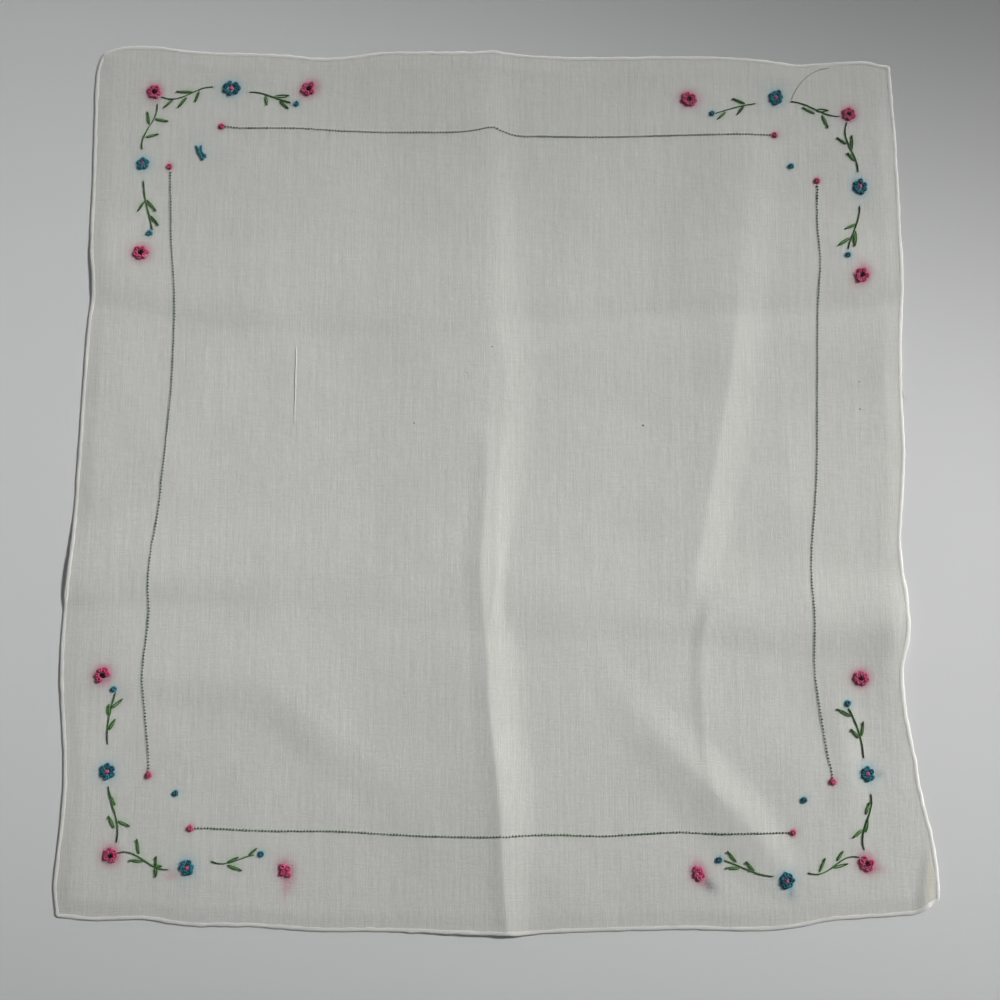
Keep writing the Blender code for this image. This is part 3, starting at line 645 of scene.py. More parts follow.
def column_x(y):
    """X of every column of the sheet at height y: left edge, crease, right fold, right edge."""
    stops = (
        smooth_value(y, LEFT_EDGE, 1) + EDGE_INSET,
        smooth_value(y, CENTRE_CREASE, 1),
        smooth_value(y, RIGHT_GUIDE, 1),
        smooth_value(y, RIGHT_EDGE, 1) - EDGE_INSET,
    )
    columns = [stops[0]]
    for start, end, strips in zip(stops, stops[1:], (LEFT_STRIPS, MIDDLE_STRIPS, RIGHT_STRIPS)):
        columns += [start + (end - start) * share for share in spread(*strips)[1:]]
    return columns


def row_y(x):
    """Y of every row of the sheet at place x."""
    bottom = smooth_value(x, BOTTOM_EDGE, 1) + EDGE_INSET
    top = smooth_value(x, TOP_EDGE, 1) - EDGE_INSET
    return [bottom + (top - bottom) * share for share in spread(*ROWS)]


def pick(index, layers):
    """The value of the layer that the index names, point by point."""
    return np.take_along_axis(np.stack(layers), index[None], axis=0)[0]


def sheet_grid():
    """Places of the sheet's points: each lies on its own column and its own row, found by turns."""
    columns = LEFT_STRIPS[0] + MIDDLE_STRIPS[0] + RIGHT_STRIPS[0] + 1
    row, column = np.indices((ROWS[0] + 1, columns))
    x = np.zeros(row.shape)
    y = np.zeros(row.shape)
    for _ in range(GRID_TURNS):
        x = pick(column, column_x(y))
        y = pick(row, row_y(x))
    return x, y


def spot(x, y, centre_x, centre_y, half_length, half_breadth, lean, power):
    """A soft oval spot: exp of minus the distance in half lengths and breadths, to the given power."""
    angle = math.radians(lean)
    along = (x - centre_x) * math.cos(angle) + (y - centre_y) * math.sin(angle)
    aside = (y - centre_y) * math.cos(angle) - (x - centre_x) * math.sin(angle)
    return np.exp(-(((along / half_length) ** 2 + (aside / half_breadth) ** 2) ** (0.5 * power)))


def all_spots():
    """Every tint on the cloth, as spot() takes it, with its colour and strength before its power.

    They are round flowers, knots, the ends of stems and leaves, and the stray smears.
    """
    spots = [smear + (OVAL,) for smear in SMEARS]
    for flowers, colour, halos in (
        (PINK_FLOWERS + PINK_CLUSTERS, ROSE, PINK_HALOS),
        (BLUE_FLOWERS, SKY, BLUE_HALOS),
    ):
        for x, y, _, ring, _, _, stretch, lean in flowers:
            for past, strength, power in halos:
                reach = ring + past
                spots.append((x, y, reach * stretch, reach, lean, colour, strength, power))
    for knots, colour in ((BLUE_KNOTS, SKY), (LINE_END_KNOTS, ROSE)):
        for x, y, _ in knots:
            for reach, strength, power in KNOT_HALOS:
                spots.append((x, y, reach, reach, 0, colour, strength, power))
    leaf_reach, leaf_strength = LEAF_HALO
    reach, strength = STEM_END_SPOT
    for start, end, bows, leaves in SPRAYS:
        for place in (start, end):
            spots.append((*place, reach, reach, 0, SMOKE, strength, OVAL))
        for leaf in leaves:
            root, tip = leaf_ends(start, end, bows, leaf)
            x, y = 0.5 * (root + tip)
            lean = math.degrees(math.atan2(tip[1] - root[1], tip[0] - root[0]))
            spots.append((x, y, 0.6 * leaf[2], leaf_reach, lean, LEAF_SHADE, leaf_strength, OVAL))
    return spots


def tint_of(x, y):
    """Red, green, blue and share of the dye at each place, the colours already times their share."""
    tint = np.zeros(x.shape + (4,))
    for *place, colour, strength, power in all_spots():
        share = strength * spot(x, y, *place, power)
        tint = tint * (1.0 - share[..., None]) + share[..., None] * np.array(colour + (1.0,))
    return tint


def make_sheet(material):
    """The lawn as a closed sheet: the grid twice, half its thickness up and down, joined at the rim."""
    x, y = sheet_grid()
    middle = cloth_middle(x, y)
    over = np.stack([x, y, middle + 0.5 * CLOTH], axis=-1)
    under = np.stack([x, y, np.maximum(middle - 0.5 * CLOTH, CLOTH_GAP)], axis=-1)
    points = np.concatenate([over.reshape(-1, 3), under.reshape(-1, 3)])
    number = np.arange(x.size).reshape(x.shape)
    quads = np.stack([number[:-1, :-1], number[:-1, 1:], number[1:, 1:], number[1:, :-1]], axis=-1)
    quads = quads.reshape(-1, 4)
    rim = np.concatenate([number[0, :-1], number[:-1, -1], number[-1, :0:-1], number[:0:-1, 0]])
    rim_next = np.roll(rim, -1)
    sides = np.stack([rim + x.size, rim_next + x.size, rim_next, rim], axis=-1)
    faces = np.concatenate([quads, quads[:, [0, 3, 2, 1]] + x.size, sides])
    uv = points[faces.ravel(), :2]
    tint = tint_of(x, y).reshape(-1, 4)
    dye = {"dye": np.concatenate([tint, tint])}
    piece = new_piece("linen_sheet", points, faces.tolist(), "cloth", uv, material, dye)
    # the rim is square, so that its turn doesn't shade the lawn beside the hem
    piece.data.set_sharp_from_angle(angle=math.radians(RIM_ANGLE))
    return piece


# Hem


def corner(side, level):
    """Where an upright and a level edge of the cloth meet, found by turns."""
    x = np.zeros(1)
    y = np.zeros(1)
    for _ in range(CORNER_TURNS):
        x = smooth_value(y, side, 1)
        y = smooth_value(x, level, 1)
    return np.array([x[0], y[0]])


def edge_run(rows, start, end, upright):
    """Close points along one edge, from one corner up to the next, which is left out."""
    axis = 1 if upright else 0
    along = np.linspace(start[axis], end[axis], int(abs(end[axis] - start[axis]) / EDGE_STEP))
    across = smooth_value(along, rows, 1)
    return np.stack([across, along] if upright else [along, across], axis=-1)[:-1]


def evenly(path, step):
    """The same path with its points an even step apart."""
    run = np.concatenate([[0.0], np.cumsum(np.linalg.norm(np.diff(path, axis=0), axis=1))])
    places = np.linspace(0.0, run[-1], int(run[-1] / step) + 1)
    return np.stack([np.interp(places, run, path[:, axis]) for axis in range(path.shape[1])], axis=-1)


def inwards(path):
    """A clockwise path moved in by the hem's radius, which is to the right of its way."""
    return path - HEM_RADIUS * turned_left(unit(np.gradient(path, axis=0)))


def hem_line():
    """Middle line of the roll, clockwise from the upper left corner, where its two ends meet."""
    upper_left = corner(LEFT_EDGE, TOP_EDGE)
    upper_right = corner(RIGHT_EDGE, TOP_EDGE)
    lower_right = corner(RIGHT_EDGE, BOTTOM_EDGE)
    lower_left = corner(LEFT_EDGE, BOTTOM_EDGE)
    path = np.concatenate([
        edge_run(TOP_EDGE, upper_left, upper_right, False),
        edge_run(RIGHT_EDGE, upper_right, lower_right, True),
        edge_run(BOTTOM_EDGE, lower_right, lower_left, False),
        edge_run(LEFT_EDGE, lower_left, upper_left, True),
    ])
    path = inwards(evenly(path, HEM_STEP))
    # rounds the corners
    for _ in range(4):
        path[1:-1] = 0.25 * path[:-2] + 0.5 * path[1:-1] + 0.25 * path[2:]
    path = evenly(path, HEM_STEP)
    # where a fold ends at the hem, the roll stands as high as the lawn beside it
    height = np.maximum(fold_height(*path.T), fold_height(*inwards(path).T))
    return lifted(path, height + HEM_RADIUS * HEM_FLATNESS + HEM_GAP)


def uneven(run, seed, lengths, count=10):
    """A wandering value along a run: sines of chance lengths and phases, about from -1 to 1."""
    chance = np.random.default_rng(seed)
    total = np.zeros(run.shape)
    for length in chance.uniform(*lengths, count):
        total += np.sin(2.0 * np.pi * run / length + chance.uniform(0.0, 2.0 * np.pi))
    return total / math.sqrt(count)


def make_hem(line, material):
    """The roll: a flattened tube that bulges between its stitches and thins at its two ends."""
    run = np.arange(len(line)) * HEM_STEP
    bulge = np.abs(np.sin(np.pi * run / WHIP_PITCH)) - 0.6
    radius = HEM_RADIUS * (1.0 + HEM_BULGE * bulge + HEM_UNEVEN * uneven(run, 3, (4.0, 30.0)))
    end = np.minimum(run, run[-1] - run)
    radius = radius * np.clip(HEM_END[0] + end / HEM_END[1], HEM_END[0], 1.0)
    wander = HEM_WANDER * uneven(run, 5, (5.0, 22.0))
    path = line + np.column_stack([wander, wander, np.zeros(len(line))])
    path[:, 2] = np.maximum(path[:, 2], radius * HEM_FLATNESS + CLOTH_GAP)
    part = tubes(path[None], radius[None], HEM_SIDES, 0.0, HEM_FLATNESS)
    return thread_piece("rolled_hem", [part], material)


def make_whipping(line, material):
    """The hem's sewing thread: a helix just proud of the roll, one turn for each stitch."""
    path = evenly(line, WHIP_PITCH / WHIP_POINTS)
    run = np.arange(len(path)) * WHIP_PITCH / WHIP_POINTS
    left = turned_left(unit(np.gradient(path, axis=0)))
    angle = 2.0 * np.pi * (run / WHIP_PITCH + 0.05 * uneven(run, 11, (6.0, 30.0)))
    out = HEM_RADIUS * 0.98
    path[:, :2] -= (out * np.cos(angle))[:, None] * left
    path[:, 2] += out * HEM_FLATNESS * np.sin(angle)
    path[:, 2] = np.maximum(path[:, 2], 2.0 * WHIP_RADIUS)
    part = tubes(path[None], np.full((1, len(run)), WHIP_RADIUS), 4, 1.0)
    return thread_piece("hem_whipping", [part], material)


# Stitches

KNOT_POINTS = 26
KNOT_RISE = ((0.0, -1.3), (0.08, 0.45), (0.5, 0.6), (0.86, 1.2), (1.0, 0.0))  # (share, in thread radii)


def knots(places, across, seed, tone, turns=1.9):
    """French knots: each thread winds about twice round the place and dives in at its middle.

    Its middle line is a spiral. Its radius shrinks by 0.6 of the share wound, to the power 1.6, and
    its height follows KNOT_RISE. Each knot is turned, pressed a little oval and leans by chance.
    """
    chance = np.random.default_rng(seed)
    places = np.asarray(places, float)
    count = len(places)
    share = np.linspace(0.0, 1.0, KNOT_POINTS)
    thread = KNOT_THREAD * chance.uniform(0.92, 1.08, (count, 1))
    start = chance.uniform(0.0, 2.0 * np.pi, (count, 1))
    angle = start + 2.0 * np.pi * turns * share
    radius = (np.reshape(across, (-1, 1)) / 2.0 - thread) * (1.0 - 0.6 * share**1.6)
    press = chance.uniform(0.86, 1.1, (count, 1))
    lean = chance.uniform(0.0, np.pi, (count, 1))
    spiral = turned(radius * np.cos(angle - lean) * press, radius * np.sin(angle - lean) / press, lean)
    rise = np.interp(share, *np.transpose(KNOT_RISE)) * thread
    height = np.maximum(cloth_top(places)[:, None] + rise, thread + TABLE_GAP)
    radii = thread * np.clip(np.minimum(share / 0.04 + 0.5, (1.0 - share) / 0.04 + 0.5), 0.5, 1.0)
    return tubes(lifted(places[:, None] + spiral, height), radii, 6, chance.uniform(*tone, count))


def flower_knots(flowers, seed):
    """Places and sizes of the petal knots: even steps round an oval, each off by a little chance."""
    chance = np.random.default_rng(seed)
    places, across = [], []
    for x, y, petals, ring, turn, bare, stretch, lean in flowers:
        step = (360.0 - bare) / petals
        angle = turn + bare / 2.0 + step * (np.arange(petals) + 0.5)
        angle = np.radians(angle + chance.uniform(-6, 6, petals))
        reach = ring * chance.uniform(0.88, 1.04, petals)
        tilt = math.radians(lean)
        oval = turned(reach * np.cos(angle - tilt) * stretch, reach * np.sin(angle - tilt), tilt)
        places.append(oval + (x, y))
        across.append(PETAL * chance.uniform(0.86, 1.1, petals))
    return np.concatenate(places), np.concatenate(across)


def places_of(rows):
    return np.array([row[:2] for row in rows])


def stem_curve(start, end, bows, share):
    """Places along a stem: the straight way, bowed aside by the cubic through both given bows."""
    way = np.subtract(end, start)
    bow = 4.5 * share * (1.0 - share) * ((2.0 - 3.0 * share) * bows[0] + (3.0 * share - 1.0) * bows[1])
    return start + share[:, None] * way + bow[:, None] * turned_left(unit(way))


def leaf_ends(start, end, bows, leaf):
    """Root and tip of a leaf, from its share, angle, length and gap along its stem."""
    share, angle, length, gap = leaf[:4]
    before, root, after = stem_curve(start, end, bows, np.array([share - 0.04, share, share + 0.04]))
    way = unit(after - before)
    left = turned_left(way)
    turn = math.radians(angle)
    heading = way * math.cos(turn) + left * math.sin(turn)
    tip = root + gap * left + length * heading
    return root + LEAF_ROOT_SHARE * gap * left - 0.15 * heading, tip


BLUNTNESS = 0.5  # of the bend of a bowed stitch


def stitches(starts, ends, thread, tone, arch=0.6, bow=0.0, points=9, sides=6):
    """Straight stitches: each comes up at its start, lies on the cloth and goes down at its end.

    The height over the cloth is arch thread radii times the fourth root of a sine bump, from one radius
    under it at both ends. bow pushes the middle aside, to the left of the way, by the sine bump to the
    power BLUNTNESS.
    """
    starts = np.asarray(starts, float)
    way = np.asarray(ends, float) - starts
    share = np.linspace(0.0, 1.0, points)
    bump = np.maximum(np.sin(np.pi * share), 0.0)
    aside = bump[:, None] ** BLUNTNESS * turned_left(unit(way))[:, None]
    flat = starts[:, None] + share[:, None] * way[:, None] + np.reshape(bow, (-1, 1, 1)) * aside
    thread = np.reshape(thread, (-1, 1))
    height = cloth_top(flat) + thread * ((arch + 1.0) * bump**0.25 - 1.0)
    height = np.maximum(height, thread + TABLE_GAP)
    return tubes(lifted(flat, height), thread * (0.6 + 0.4 * bump**0.5), sides, tone)


def stem_stitches():
    """Stem stitch: each stitch runs on past the start of the next, which lies beside it."""
    chance = np.random.default_rng(21)
    starts, ends, tone = [], [], []
    for start, end, bows, _ in SPRAYS:
        length = math.dist(start, end)
        count = round(length / STEM_PITCH)
        first = np.linspace(0.0, 1.0, count + 1)[:-1]
        last = np.minimum(first + STEM_REACH / count, 1.0)
        left = turned_left(np.subtract(end, start) / length)
        shift = chance.uniform(0.05, 0.11, (count, 1)) * left
        starts.append(stem_curve(start, end, bows, first) - shift)
        ends.append(stem_curve(start, end, bows, last) + shift)
        # dusky by the flower, greener further on
        tone.append(np.clip(0.3 * np.sin(np.pi * first) + chance.uniform(-0.12, 0.16, count), 0, 1))
    starts, ends, tone = np.concatenate(starts), np.concatenate(ends), np.concatenate(tone)
    return stitches(starts, ends, STEM_THREAD * chance.uniform(0.85, 1.15, len(tone)), tone)


def leaf_stitches():
    """Leaves: a looped stitch round each, tied down at its tip, and in a filled one a stitch inside."""
    chance = np.random.default_rng(22)
    leaves = [(leaf_ends(*stem, leaf), leaf) for *stem, leaves in SPRAYS for leaf in leaves]
    roots, tips = np.array([ends for ends, _ in leaves]).swapaxes(0, 1)
    half = np.array([0.85 * leaf[4] / 2.0 - 0.5 * LEAF_THREAD for _, leaf in leaves])
    inner = np.array([leaf[5] == FILLED for _, leaf in leaves])
    way = tips - roots
    heading = unit(way)
    tone = chance.uniform(0.05, 0.32, len(leaves))
    thread = LEAF_THREAD * chance.uniform(0.9, 1.1, len(leaves))
    inner_tone = np.clip(tone + 0.6, 0.0, 1.0)[inner]
    inner_ends = (roots + 0.1 * way)[inner], (roots + 0.92 * way)[inner]
    return [
        stitches(roots, tips, thread, tone, bow=half, points=12),
        stitches(roots, tips, thread, tone + 0.08, bow=-half, points=12),
        stitches(tips - 0.6 * heading, tips + 0.35 * heading, 1.25 * thread, 0.6 * tone, arch=1.2),
        stitches(*inner_ends, (1.15 * thread)[inner], inner_tone, arch=0.25),
    ]


def border_stitches():
    """Short stitches aslant over the four lines, a little long, thick or turned by chance."""
    chance = np.random.default_rng(23)
    starts, ends = [], []
    for rows, upright in (
        (LINE_TOP, False),
        (LINE_BOTTOM, False),
        (LINE_LEFT, True),
        (LINE_RIGHT, True),
    ):
        along = np.arange(rows[0][0], rows[-1][0], BORDER_PITCH)
        across = smooth_value(along, rows, 1)
        line = np.stack([across, along] if upright else [along, across], axis=-1)
        way = np.gradient(line, axis=0)
        left = turned_left(way)
        slip = chance.normal(0.0, 0.045, (len(line), 1)) * left
        tilt = chance.normal(0.15, 0.05, (len(line), 1)) * left
        reach = chance.uniform(0.04, 0.1, (len(line), 1)) * way
        starts.append(line - reach + slip - tilt)
        ends.append(line + reach + slip + tilt)
    starts, ends = np.concatenate(starts), np.concatenate(ends)
    count = len(starts)
    drift = uneven(np.arange(count) * BORDER_PITCH, 24, (9.0, 60.0))
    tone = np.clip(0.06 + 0.08 * drift + chance.uniform(-0.1, 0.16, count), 0.0, 1.0)
    thread = BORDER_THREAD * chance.uniform(0.85, 1.15, count)
    return stitches(starts, ends, thread, tone, arch=0.5, points=6, sides=5)


def fuzz(places, reach, each, seed, tone):
    """Short hairs of worn thread that stand out round each place, curved up or down by chance."""
    chance = np.random.default_rng(seed)
    places = np.repeat(places, each, axis=0)
    count = len(places)
    heading = chance.uniform(0.0, 2.0 * np.pi, count)
    length = reach * chance.uniform(0.45, 1.0, count)
    curl = chance.normal(0.0, 0.5, count)
    share = np.linspace(0.0, 1.0, 5)
    angle = heading[:, None] + curl[:, None] * share
    way = np.stack([np.cos(angle), np.sin(angle)], axis=-1)
    flat = places[:, None] + (length[:, None] * share)[..., None] * way
    rise = 0.35 + chance.uniform(-0.25, 0.35, (count, 1)) * share
    radii = HAIR_RADIUS * (1.0 - 0.6 * share)[None]
    return tubes(lifted(flat, cloth_top(flat) + rise), radii, 3, tone)


def loose_threads():
    """Each loose thread lies on the cloth in one soft bend."""
    start, bend, end = (np.array([row[place] for row in LOOSE_THREADS])[:, None] for place in range(3))
    share = np.linspace(0.0, 1.0, 14)[:, None]
    flat = (1.0 - share) ** 2 * start + 2.0 * share * (1.0 - share) * bend + share**2 * end
    thread = np.array([row[3] for row in LOOSE_THREADS])[:, None]
    radii = thread * (0.35 + 0.65 * np.sin(np.pi * share[:, 0]) ** 0.5)
    tone = [row[4] for row in LOOSE_THREADS]
    return tubes(lifted(flat, cloth_top(flat) + 0.4 * thread), radii, 5, tone)


# Materials


class Tree:
    """Adds nodes to a node tree. All but node() and feed() return the new node's output."""

    def __init__(self, tree):
        self.tree = tree

    def node(self, kind, inputs=None, **settings):
        node = self.tree.nodes.new(kind)
        for key, value in settings.items():
            setattr(node, key, value)
        self.feed(node, inputs or {})
        return node

    def feed(self, node, inputs):
        """Puts values or links into a node's inputs, which are named or numbered."""
        for key, value in inputs.items():
            if isinstance(value, bpy.types.NodeSocket):
                self.tree.links.new(value, node.inputs[key])
            else:
                node.inputs[key].default_value = value

    def math(self, operation, *values, clamp=False):
        inputs = dict(enumerate(values))
        return self.node("ShaderNodeMath", inputs, operation=operation, use_clamp=clamp).outputs[0]

    def times(self, first, second, more=0.0, clamp=False):
        return self.math("MULTIPLY_ADD", first, second, more, clamp=clamp)

    def rest(self, share, clamp=False):
        return self.math("SUBTRACT", 1.0, share, clamp=clamp)

    def vector(self, operation, inputs):
        return self.node("ShaderNodeVectorMath", inputs, operation=operation).outputs[0]

    def mix(self, factor, first, second):
        inputs = {"Factor": factor, 6: first, 7: second}
        return self.node("ShaderNodeMix", inputs, data_type="RGBA").outputs[2]

    def stretched(self, vector, scale):
        return self.node("ShaderNodeMapping", {"Vector": vector, "Scale": scale}).outputs[0]

    def noise(self, vector, scale=1.0, detail=2.0, roughness=0.5):
        inputs = {"Vector": vector, "Scale": scale, "Detail": detail, "Roughness": roughness}
        return self.node("ShaderNodeTexNoise", inputs).outputs[0]

    def uv(self, name):
        return self.node("ShaderNodeUVMap", uv_map=name).outputs[0]

    def x_and_y(self, vector):
        return self.node("ShaderNodeSeparateXYZ", {0: vector}).outputs[:2]


def new_group(name, inputs, outputs):
    """An empty shader group. inputs has values, where a tuple is a colour, and outputs has kinds."""
    tree = bpy.data.node_groups.new(name, "ShaderNodeTree")
    for label, value in inputs.items():
        kind = "NodeSocketColor" if isinstance(value, tuple) else "NodeSocketFloat"
        tree.interface.new_socket(name=label, in_out="INPUT", socket_type=kind).default_value = value
    for label, kind in outputs.items():
        tree.interface.new_socket(name=label, in_out="OUTPUT", socket_type="NodeSocket" + kind)
    return tree, Tree(tree), tree.nodes.new("NodeGroupInput").outputs, tree.nodes.new("NodeGroupOutput")


def weave_group():
    """Plain weave on the cloth's own millimetres.

    Height is the thread on top: warp and weft are the size of a sine across each thread, and which
    of them shows goes by the sign of both sines' product. Gap is 1 in the pin holes between four
    threads. Streak is about -1 to 1 along thick and thin threads, upright ones most.
    """
    tree, add, given, result = new_group(
        "plain_weave",
        {"Threads per mm": 2.7, "Uneven": 1.0},
        {"Height": "Float", "Gap": "Float", "Streak": "Float"},
    )
    place = add.uv("cloth")
    sway = add.times(add.math("SUBTRACT", add.noise(place, 0.12), 0.5), 3.0)
    pull = add.times(given["Threads per mm"], math.pi)
    places = [add.math("ADD", across, sway) for across in add.x_and_y(place)]
    warp, weft = (add.math("SINE", add.times(across, pull)) for across in places)
    warp_size = add.math("ABSOLUTE", warp)
    weft_size = add.math("ABSOLUTE", weft)
    over = add.times(add.times(warp, weft), 0.5, 0.5)
    hidden = add.times(weft_size, add.rest(over))
    streak = 0.0
    for stretch, detail, roughness, weight in (
        ((2.1, 0.11, 1.0), 2.0, 0.6, 2.2),
        ((0.9, 0.02, 1.0), 1.0, 0.5, 1.2),
        ((0.09, 2.1, 1.0), 2.0, 0.6, 1.1),
    ):
        noise = add.noise(add.stretched(place, stretch), 1.0, detail, roughness)
        streak = add.times(add.math("SUBTRACT", noise, 0.5), weight, streak)
    add.feed(result, {
        "Height": add.times(warp_size, over, hidden),
        "Gap": add.times(add.rest(warp_size), add.rest(weft_size)),
        "Streak": add.times(streak, given["Uneven"]),
    })
    return tree


def thread_group():
    """Twisted thread on its own uv: plies that wind round it, with painted shade, the colour lighter on
    top of each ply and darker between them.
    """
    tree, add, given, result = new_group(
        "twisted_thread",
        {"Pale": (1, 1, 1, 1), "Deep": (0, 0, 0, 1), "Turn length": 0.9},
        {"Color": "Color", "Height": "Float"},
    )
    place = add.uv("thread")
    along, round_it = add.x_and_y(place)
    wound = add.math("DIVIDE", along, given["Turn length"])
    turn = add.times(round_it, PLIES, wound)
    height = add.math("ABSOLUTE", add.math("SINE", add.times(turn, math.pi)))
    tone = add.node("ShaderNodeAttribute", attribute_name="tone").outputs["Fac"]
    fleck = add.math("SUBTRACT", add.noise(add.stretched(place, (2.0, 9.0, 1.0))), 0.5)
    colour = add.mix(add.times(fleck, 0.5, tone, clamp=True), given["Deep"], given["Pale"])
    # painted shade: the colour is scaled from 0.62 where the plies dip between each other up to 1.07 on
    # their tops
    colour_with_painted_shade = add.vector("SCALE", {0: colour, "Scale": add.times(height, 0.45, 0.62)})
    add.feed(result, {"Color": colour_with_painted_shade, "Height": height})
    return tree


def new_material(name):
    material = bpy.data.materials.new(name)
    material.use_nodes = True
    return material, Tree(material.node_tree), material.node_tree.nodes["Principled BSDF"]


def bumped(add, height, depth, strength):
    """A normal from a height, whose unit is depth millimetres."""
    inputs = {"Strength": strength, "Distance": depth * MM, "Height": height}
    return add.node("ShaderNodeBump", inputs).outputs[0]


def linen_material(weave):
    """Sheer off-white lawn: streaked by uneven threads, tinted by bled dye, open in its pin holes."""
    material, add, shader = new_material("sheer_linen")
    place = add.uv("cloth")
    cloth = add.node("ShaderNodeGroup", node_tree=weave).outputs
    share = add.times(cloth["Streak"], 0.34, add.noise(place, 0.035, 3.0), clamp=True)
    linen = add.mix(share, LINEN_DEEP + (1,), LINEN_PALE + (1,))
    dye = add.node("ShaderNodeAttribute", attribute_name="dye").outputs
    blotch = add.times(add.noise(place, 1.6, 3.0, 0.65), 1.5, 0.25)
    amount = add.times(dye["Alpha"], blotch)
    clean = add.vector("SCALE", {0: linen, "Scale": add.rest(amount, clamp=True)})
    stain = add.vector("SCALE", {0: dye["Color"], "Scale": blotch})
    closed = add.times(cloth["Gap"], -0.5, 0.86)
    relief = add.times(cloth["Streak"], 0.55, cloth["Height"])
    relief = add.times(add.noise(place, 0.22, 3.0, 0.6), 2.0, relief)
    add.feed(shader, {
        "Base Color": add.vector("ADD", {0: clean, 1: stain}),
        "Alpha": add.times(cloth["Streak"], 0.07, closed, clamp=True),
        "Roughness": 0.88,
        "Sheen Weight": 0.12,
        "Normal": bumped(add, relief, 0.06, 0.7),
    })
    return material


def thread_material(name, twist, pale, deep, turn_length=0.7, roughness=0.75, depth=0.06):
    material, add, shader = new_material(name)
    inputs = {"Pale": pale + (1,), "Deep": deep + (1,), "Turn length": turn_length}
    thread = add.node("ShaderNodeGroup", inputs, node_tree=twist).outputs
    add.feed(shader, {
        "Base Color": thread["Color"],
        "Roughness": roughness,
        "Specular IOR Level": 0.2,
        "Normal": bumped(add, thread["Height"], depth, 0.8),
    })
    return material


def hem_material():
    """Rolled linen: pale and smooth, with faint ribbing of its threads and soft dents between stitches,
    its colour paler on each rib and deeper between them as painted shade.
    """
    material, add, shader = new_material("hem_linen")
    ribs_and_painted_shade = add.noise(add.stretched(add.uv("thread"), (2.6, 5.0, 1.0)), 1.0, 3.0, 0.6)
    add.feed(shader, {
        # painted shade: the same noise as the bump, so the colour is deeper where the ribbing is low
        "Base Color": add.mix(ribs_and_painted_shade, HEM_DEEP + (1,), HEM_PALE + (1,)),
        "Roughness": 0.85,
        # light soaks into the rolled layers, so that the side away from the window stays pale
        "Subsurface Weight": 0.75,
        "Subsurface Radius": (1.0, 1.0, 0.9),
        "Subsurface Scale": 1.2 * MM,
        "Normal": bumped(add, ribs_and_painted_shade, 0.12, 0.6),
    })
    return material


def floor_material():
    """Pale matt floor, with a soft painted shadow in its colour past the upper right corner of the
    cloth.
    """
    material, add, shader = new_material("pale_floor")
    place = add.node("ShaderNodeTexCoord").outputs["Object"]
    pale = add.mix(add.noise(place, 9.0, 4.0), FLOOR_DEEP + (1,), FLOOR_PALE + (1,))
    # painted shadow: metres past the line that it starts at, from the upper left to the right
    x, y = add.x_and_y(place)
    past = add.times(y, 0.85, add.times(x, 0.45, -0.06))
    ramp = {"Value": past, "From Min": 0.0, "From Max": 0.22, "To Min": 1.0, "To Max": 0.48}
    painted_shade = add.node("ShaderNodeMapRange", ramp, interpolation_type="SMOOTHSTEP").outputs["Result"]
    colour = add.vector("SCALE", {0: pale, "Scale": painted_shade})
    add.feed(shader, {"Base Color": colour, "Roughness": 0.6})
    return material


# Stage, camera and light


def make_floor():
    bpy.ops.mesh.primitive_plane_add(size=3.0, location=(0.0, 0.0, 0.0))
    floor = bpy.context.object
    floor.name = "floor"
    floor.data.materials.append(floor_material())


CAMERA_ELEVATION = 84.0
CAMERA_LENS = 37.8
CAMERA_DISTANCE = 365.5
CAMERA_AIM = (1.6, -10.15, 0.0)


def make_camera():
    """The camera looks down at the cloth, six degrees off upright, from the side of its bottom edge."""
    tilt = math.radians(90.0 - CAMERA_ELEVATION)
    data = bpy.data.cameras.new("camera")
    data.lens = CAMERA_LENS
    data.sensor_width = 36.0
    data.clip_start = 0.01
    camera = linked("camera", data)
    away = Vector((0.0, -math.sin(tilt), math.cos(tilt)))
    camera.location = (Vector(CAMERA_AIM) + CAMERA_DISTANCE * away) * MM
    camera.rotation_euler = (tilt, 0.0, 0.0)
    bpy.context.scene.camera = camera


def make_light(name, azimuth, elevation, distance, size, roll, spread, power, colour, aim=(0, 0, 0)):
    """An oval area light that faces its aim. Angles are in degrees and lengths in metres."""
    data = bpy.data.lights.new(name, "AREA")
    data.shape = "ELLIPSE"
    data.size, data.size_y = size
    data.spread = math.radians(spread)
    data.energy = power
    data.color = colour
    light = linked(name, data)
    turn = math.radians(azimuth)
    rise = math.radians(elevation)
    away = Vector((math.cos(turn) * math.cos(rise), math.sin(turn) * math.cos(rise), math.sin(rise)))
    light.location = distance * away
    facing = (Vector(aim) - light.location).to_track_quat("-Z", "Y")
    light.rotation_euler = (facing @ Quaternion((0.0, 0.0, 1.0), math.radians(roll))).to_euler()


def make_lights():
    """A low, long window from the right and a little from the top edge, and a weak even room."""
    warm = (1.0, 0.99, 0.97)
    cool = (0.95, 0.98, 1.0)
    make_light("window", 27.7, 25.5, 2.2, (1.2, 0.16), 26.0, 13.5, 1.28, warm, (0.08, -0.06, 0.0))
    make_light("ceiling", 130.0, 70.0, 1.8, (1.2, 1.2), 0.0, 180.0, 0.92, cool)
    world = bpy.data.worlds.new("soft_room")
    world.use_nodes = True
    background = world.node_tree.nodes["Background"]
    background.inputs["Color"].default_value = (0.93, 0.97, 1.0, 1.0)
    background.inputs["Strength"].default_value = 0.11
    bpy.context.scene.world = world
    bpy.context.scene.view_settings.view_transform = "Standard"


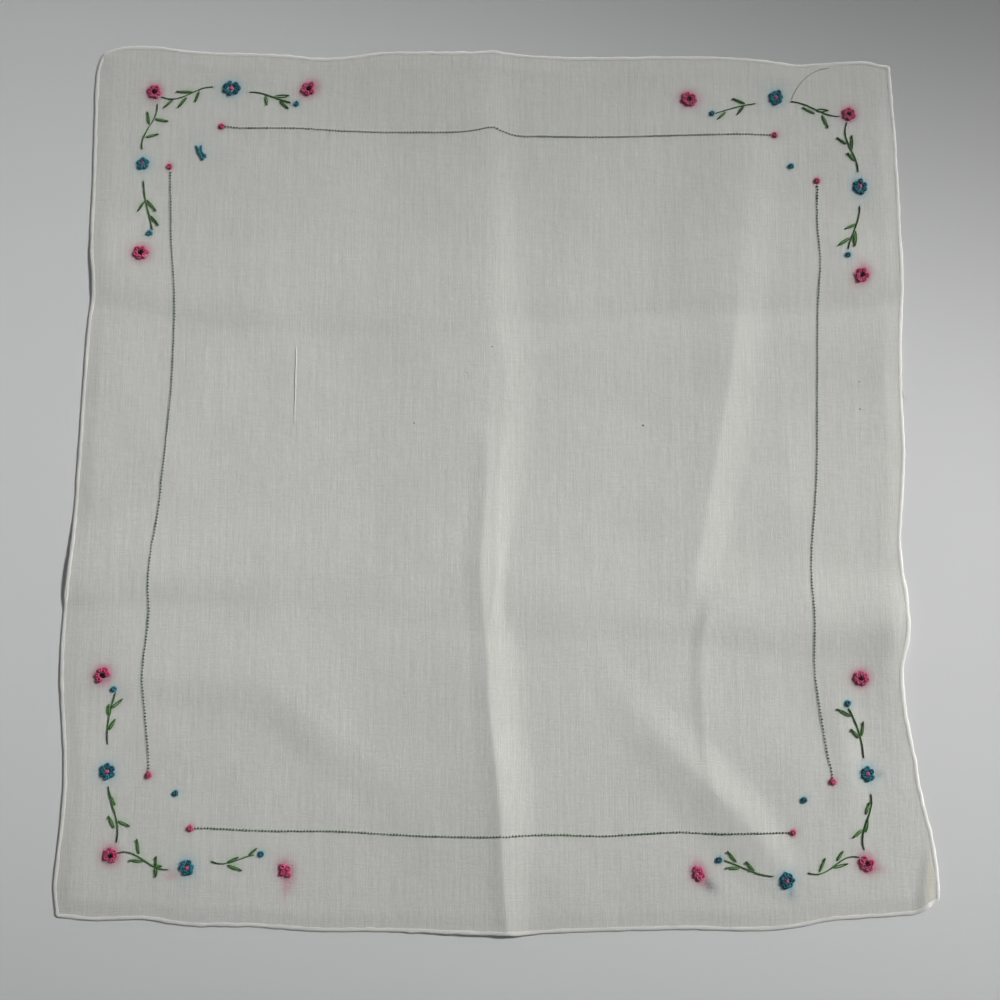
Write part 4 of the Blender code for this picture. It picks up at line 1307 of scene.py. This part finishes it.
def main():
    make_floor()
    make_camera()
    make_lights()
    linen = linen_material(weave_group())
    hem = hem_material()
    twist = thread_group()
    whipping = thread_material("hem_thread", twist, HEM_PALE, HEM_DEEP, 0.5, 0.6, 0.02)
    pink = thread_material("pink_thread", twist, PINK_PALE, PINK_DEEP)
    dark = thread_material("dark_thread", twist, DARK_PALE, DARK_DEEP)
    blue = thread_material("blue_thread", twist, BLUE_PALE, BLUE_DEEP)
    green = thread_material("green_thread", twist, GREEN_PALE, GREEN_DEEP)
    loose = thread_material("loose_thread", twist, LOOSE_PALE, LOOSE_DEEP, 0.7, 0.7, 0.02)

    sheet = make_sheet(linen)
    line = hem_line()
    pink_petals, pink_across = flower_knots(PINK_FLOWERS + PINK_CLUSTERS, 31)
    blue_petals, blue_across = flower_knots(BLUE_FLOWERS, 32)
    pink_middles = places_of(PINK_FLOWERS)
    line_ends, buds = places_of(LINE_END_KNOTS), places_of(BLUE_KNOTS)
    line_end_across = [across for _, _, across in LINE_END_KNOTS]
    bud_across = [1.12 * across for _, _, across in BLUE_KNOTS]
    sewn = [
        make_hem(line, hem),
        make_whipping(line, whipping),
        thread_piece("pink_knots", [
            knots(pink_petals, pink_across, 41, (0.1, 0.6)),
            knots(line_ends, line_end_across, 42, (0.2, 0.6)),
            knots(places_of(BLUE_FLOWERS), PINK_MIDDLE, 43, (0.5, 0.9)),
            fuzz(pink_petals, 1.8, 12, 44, 0.95),
            fuzz(line_ends, 1.8, 14, 49, 0.95),
        ], pink),
        thread_piece("blue_knots", [
            knots(blue_petals, blue_across, 45, (0.05, 0.6)),
            knots(buds, bud_across, 46, (0.2, 0.6)),
            stitches(STRAY_FROM, STRAY_TO, 0.36, (1.0, 0.7, 0.9, 0.8, 0.5)),
            knots(STRAY_TO[1:3], 1.7, 51, (0.4, 0.6)),
            fuzz(blue_petals, 1.6, 9, 47, 0.9),
            fuzz(buds, 1.7, 8, 50, 0.9),
        ], blue),
        thread_piece("dark_knots", [
            knots(pink_middles, DARK_MIDDLE, 48, (0.0, 0.3)),
            stitches(pink_middles - DARK_TUCK, pink_middles + DARK_TUCK, KNOT_THREAD, 0.0, arch=1.0),
        ], dark),
        thread_piece("stem_stitches", [stem_stitches()], green),
        thread_piece("leaf_stitches", leaf_stitches(), green),
        thread_piece("border_stitches", [border_stitches()], green),
        thread_piece("loose_threads", [loose_threads()], loose),
    ]
    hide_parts("linen_cloth")
    for piece in [sheet] + sewn:
        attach(piece, "root")


main()
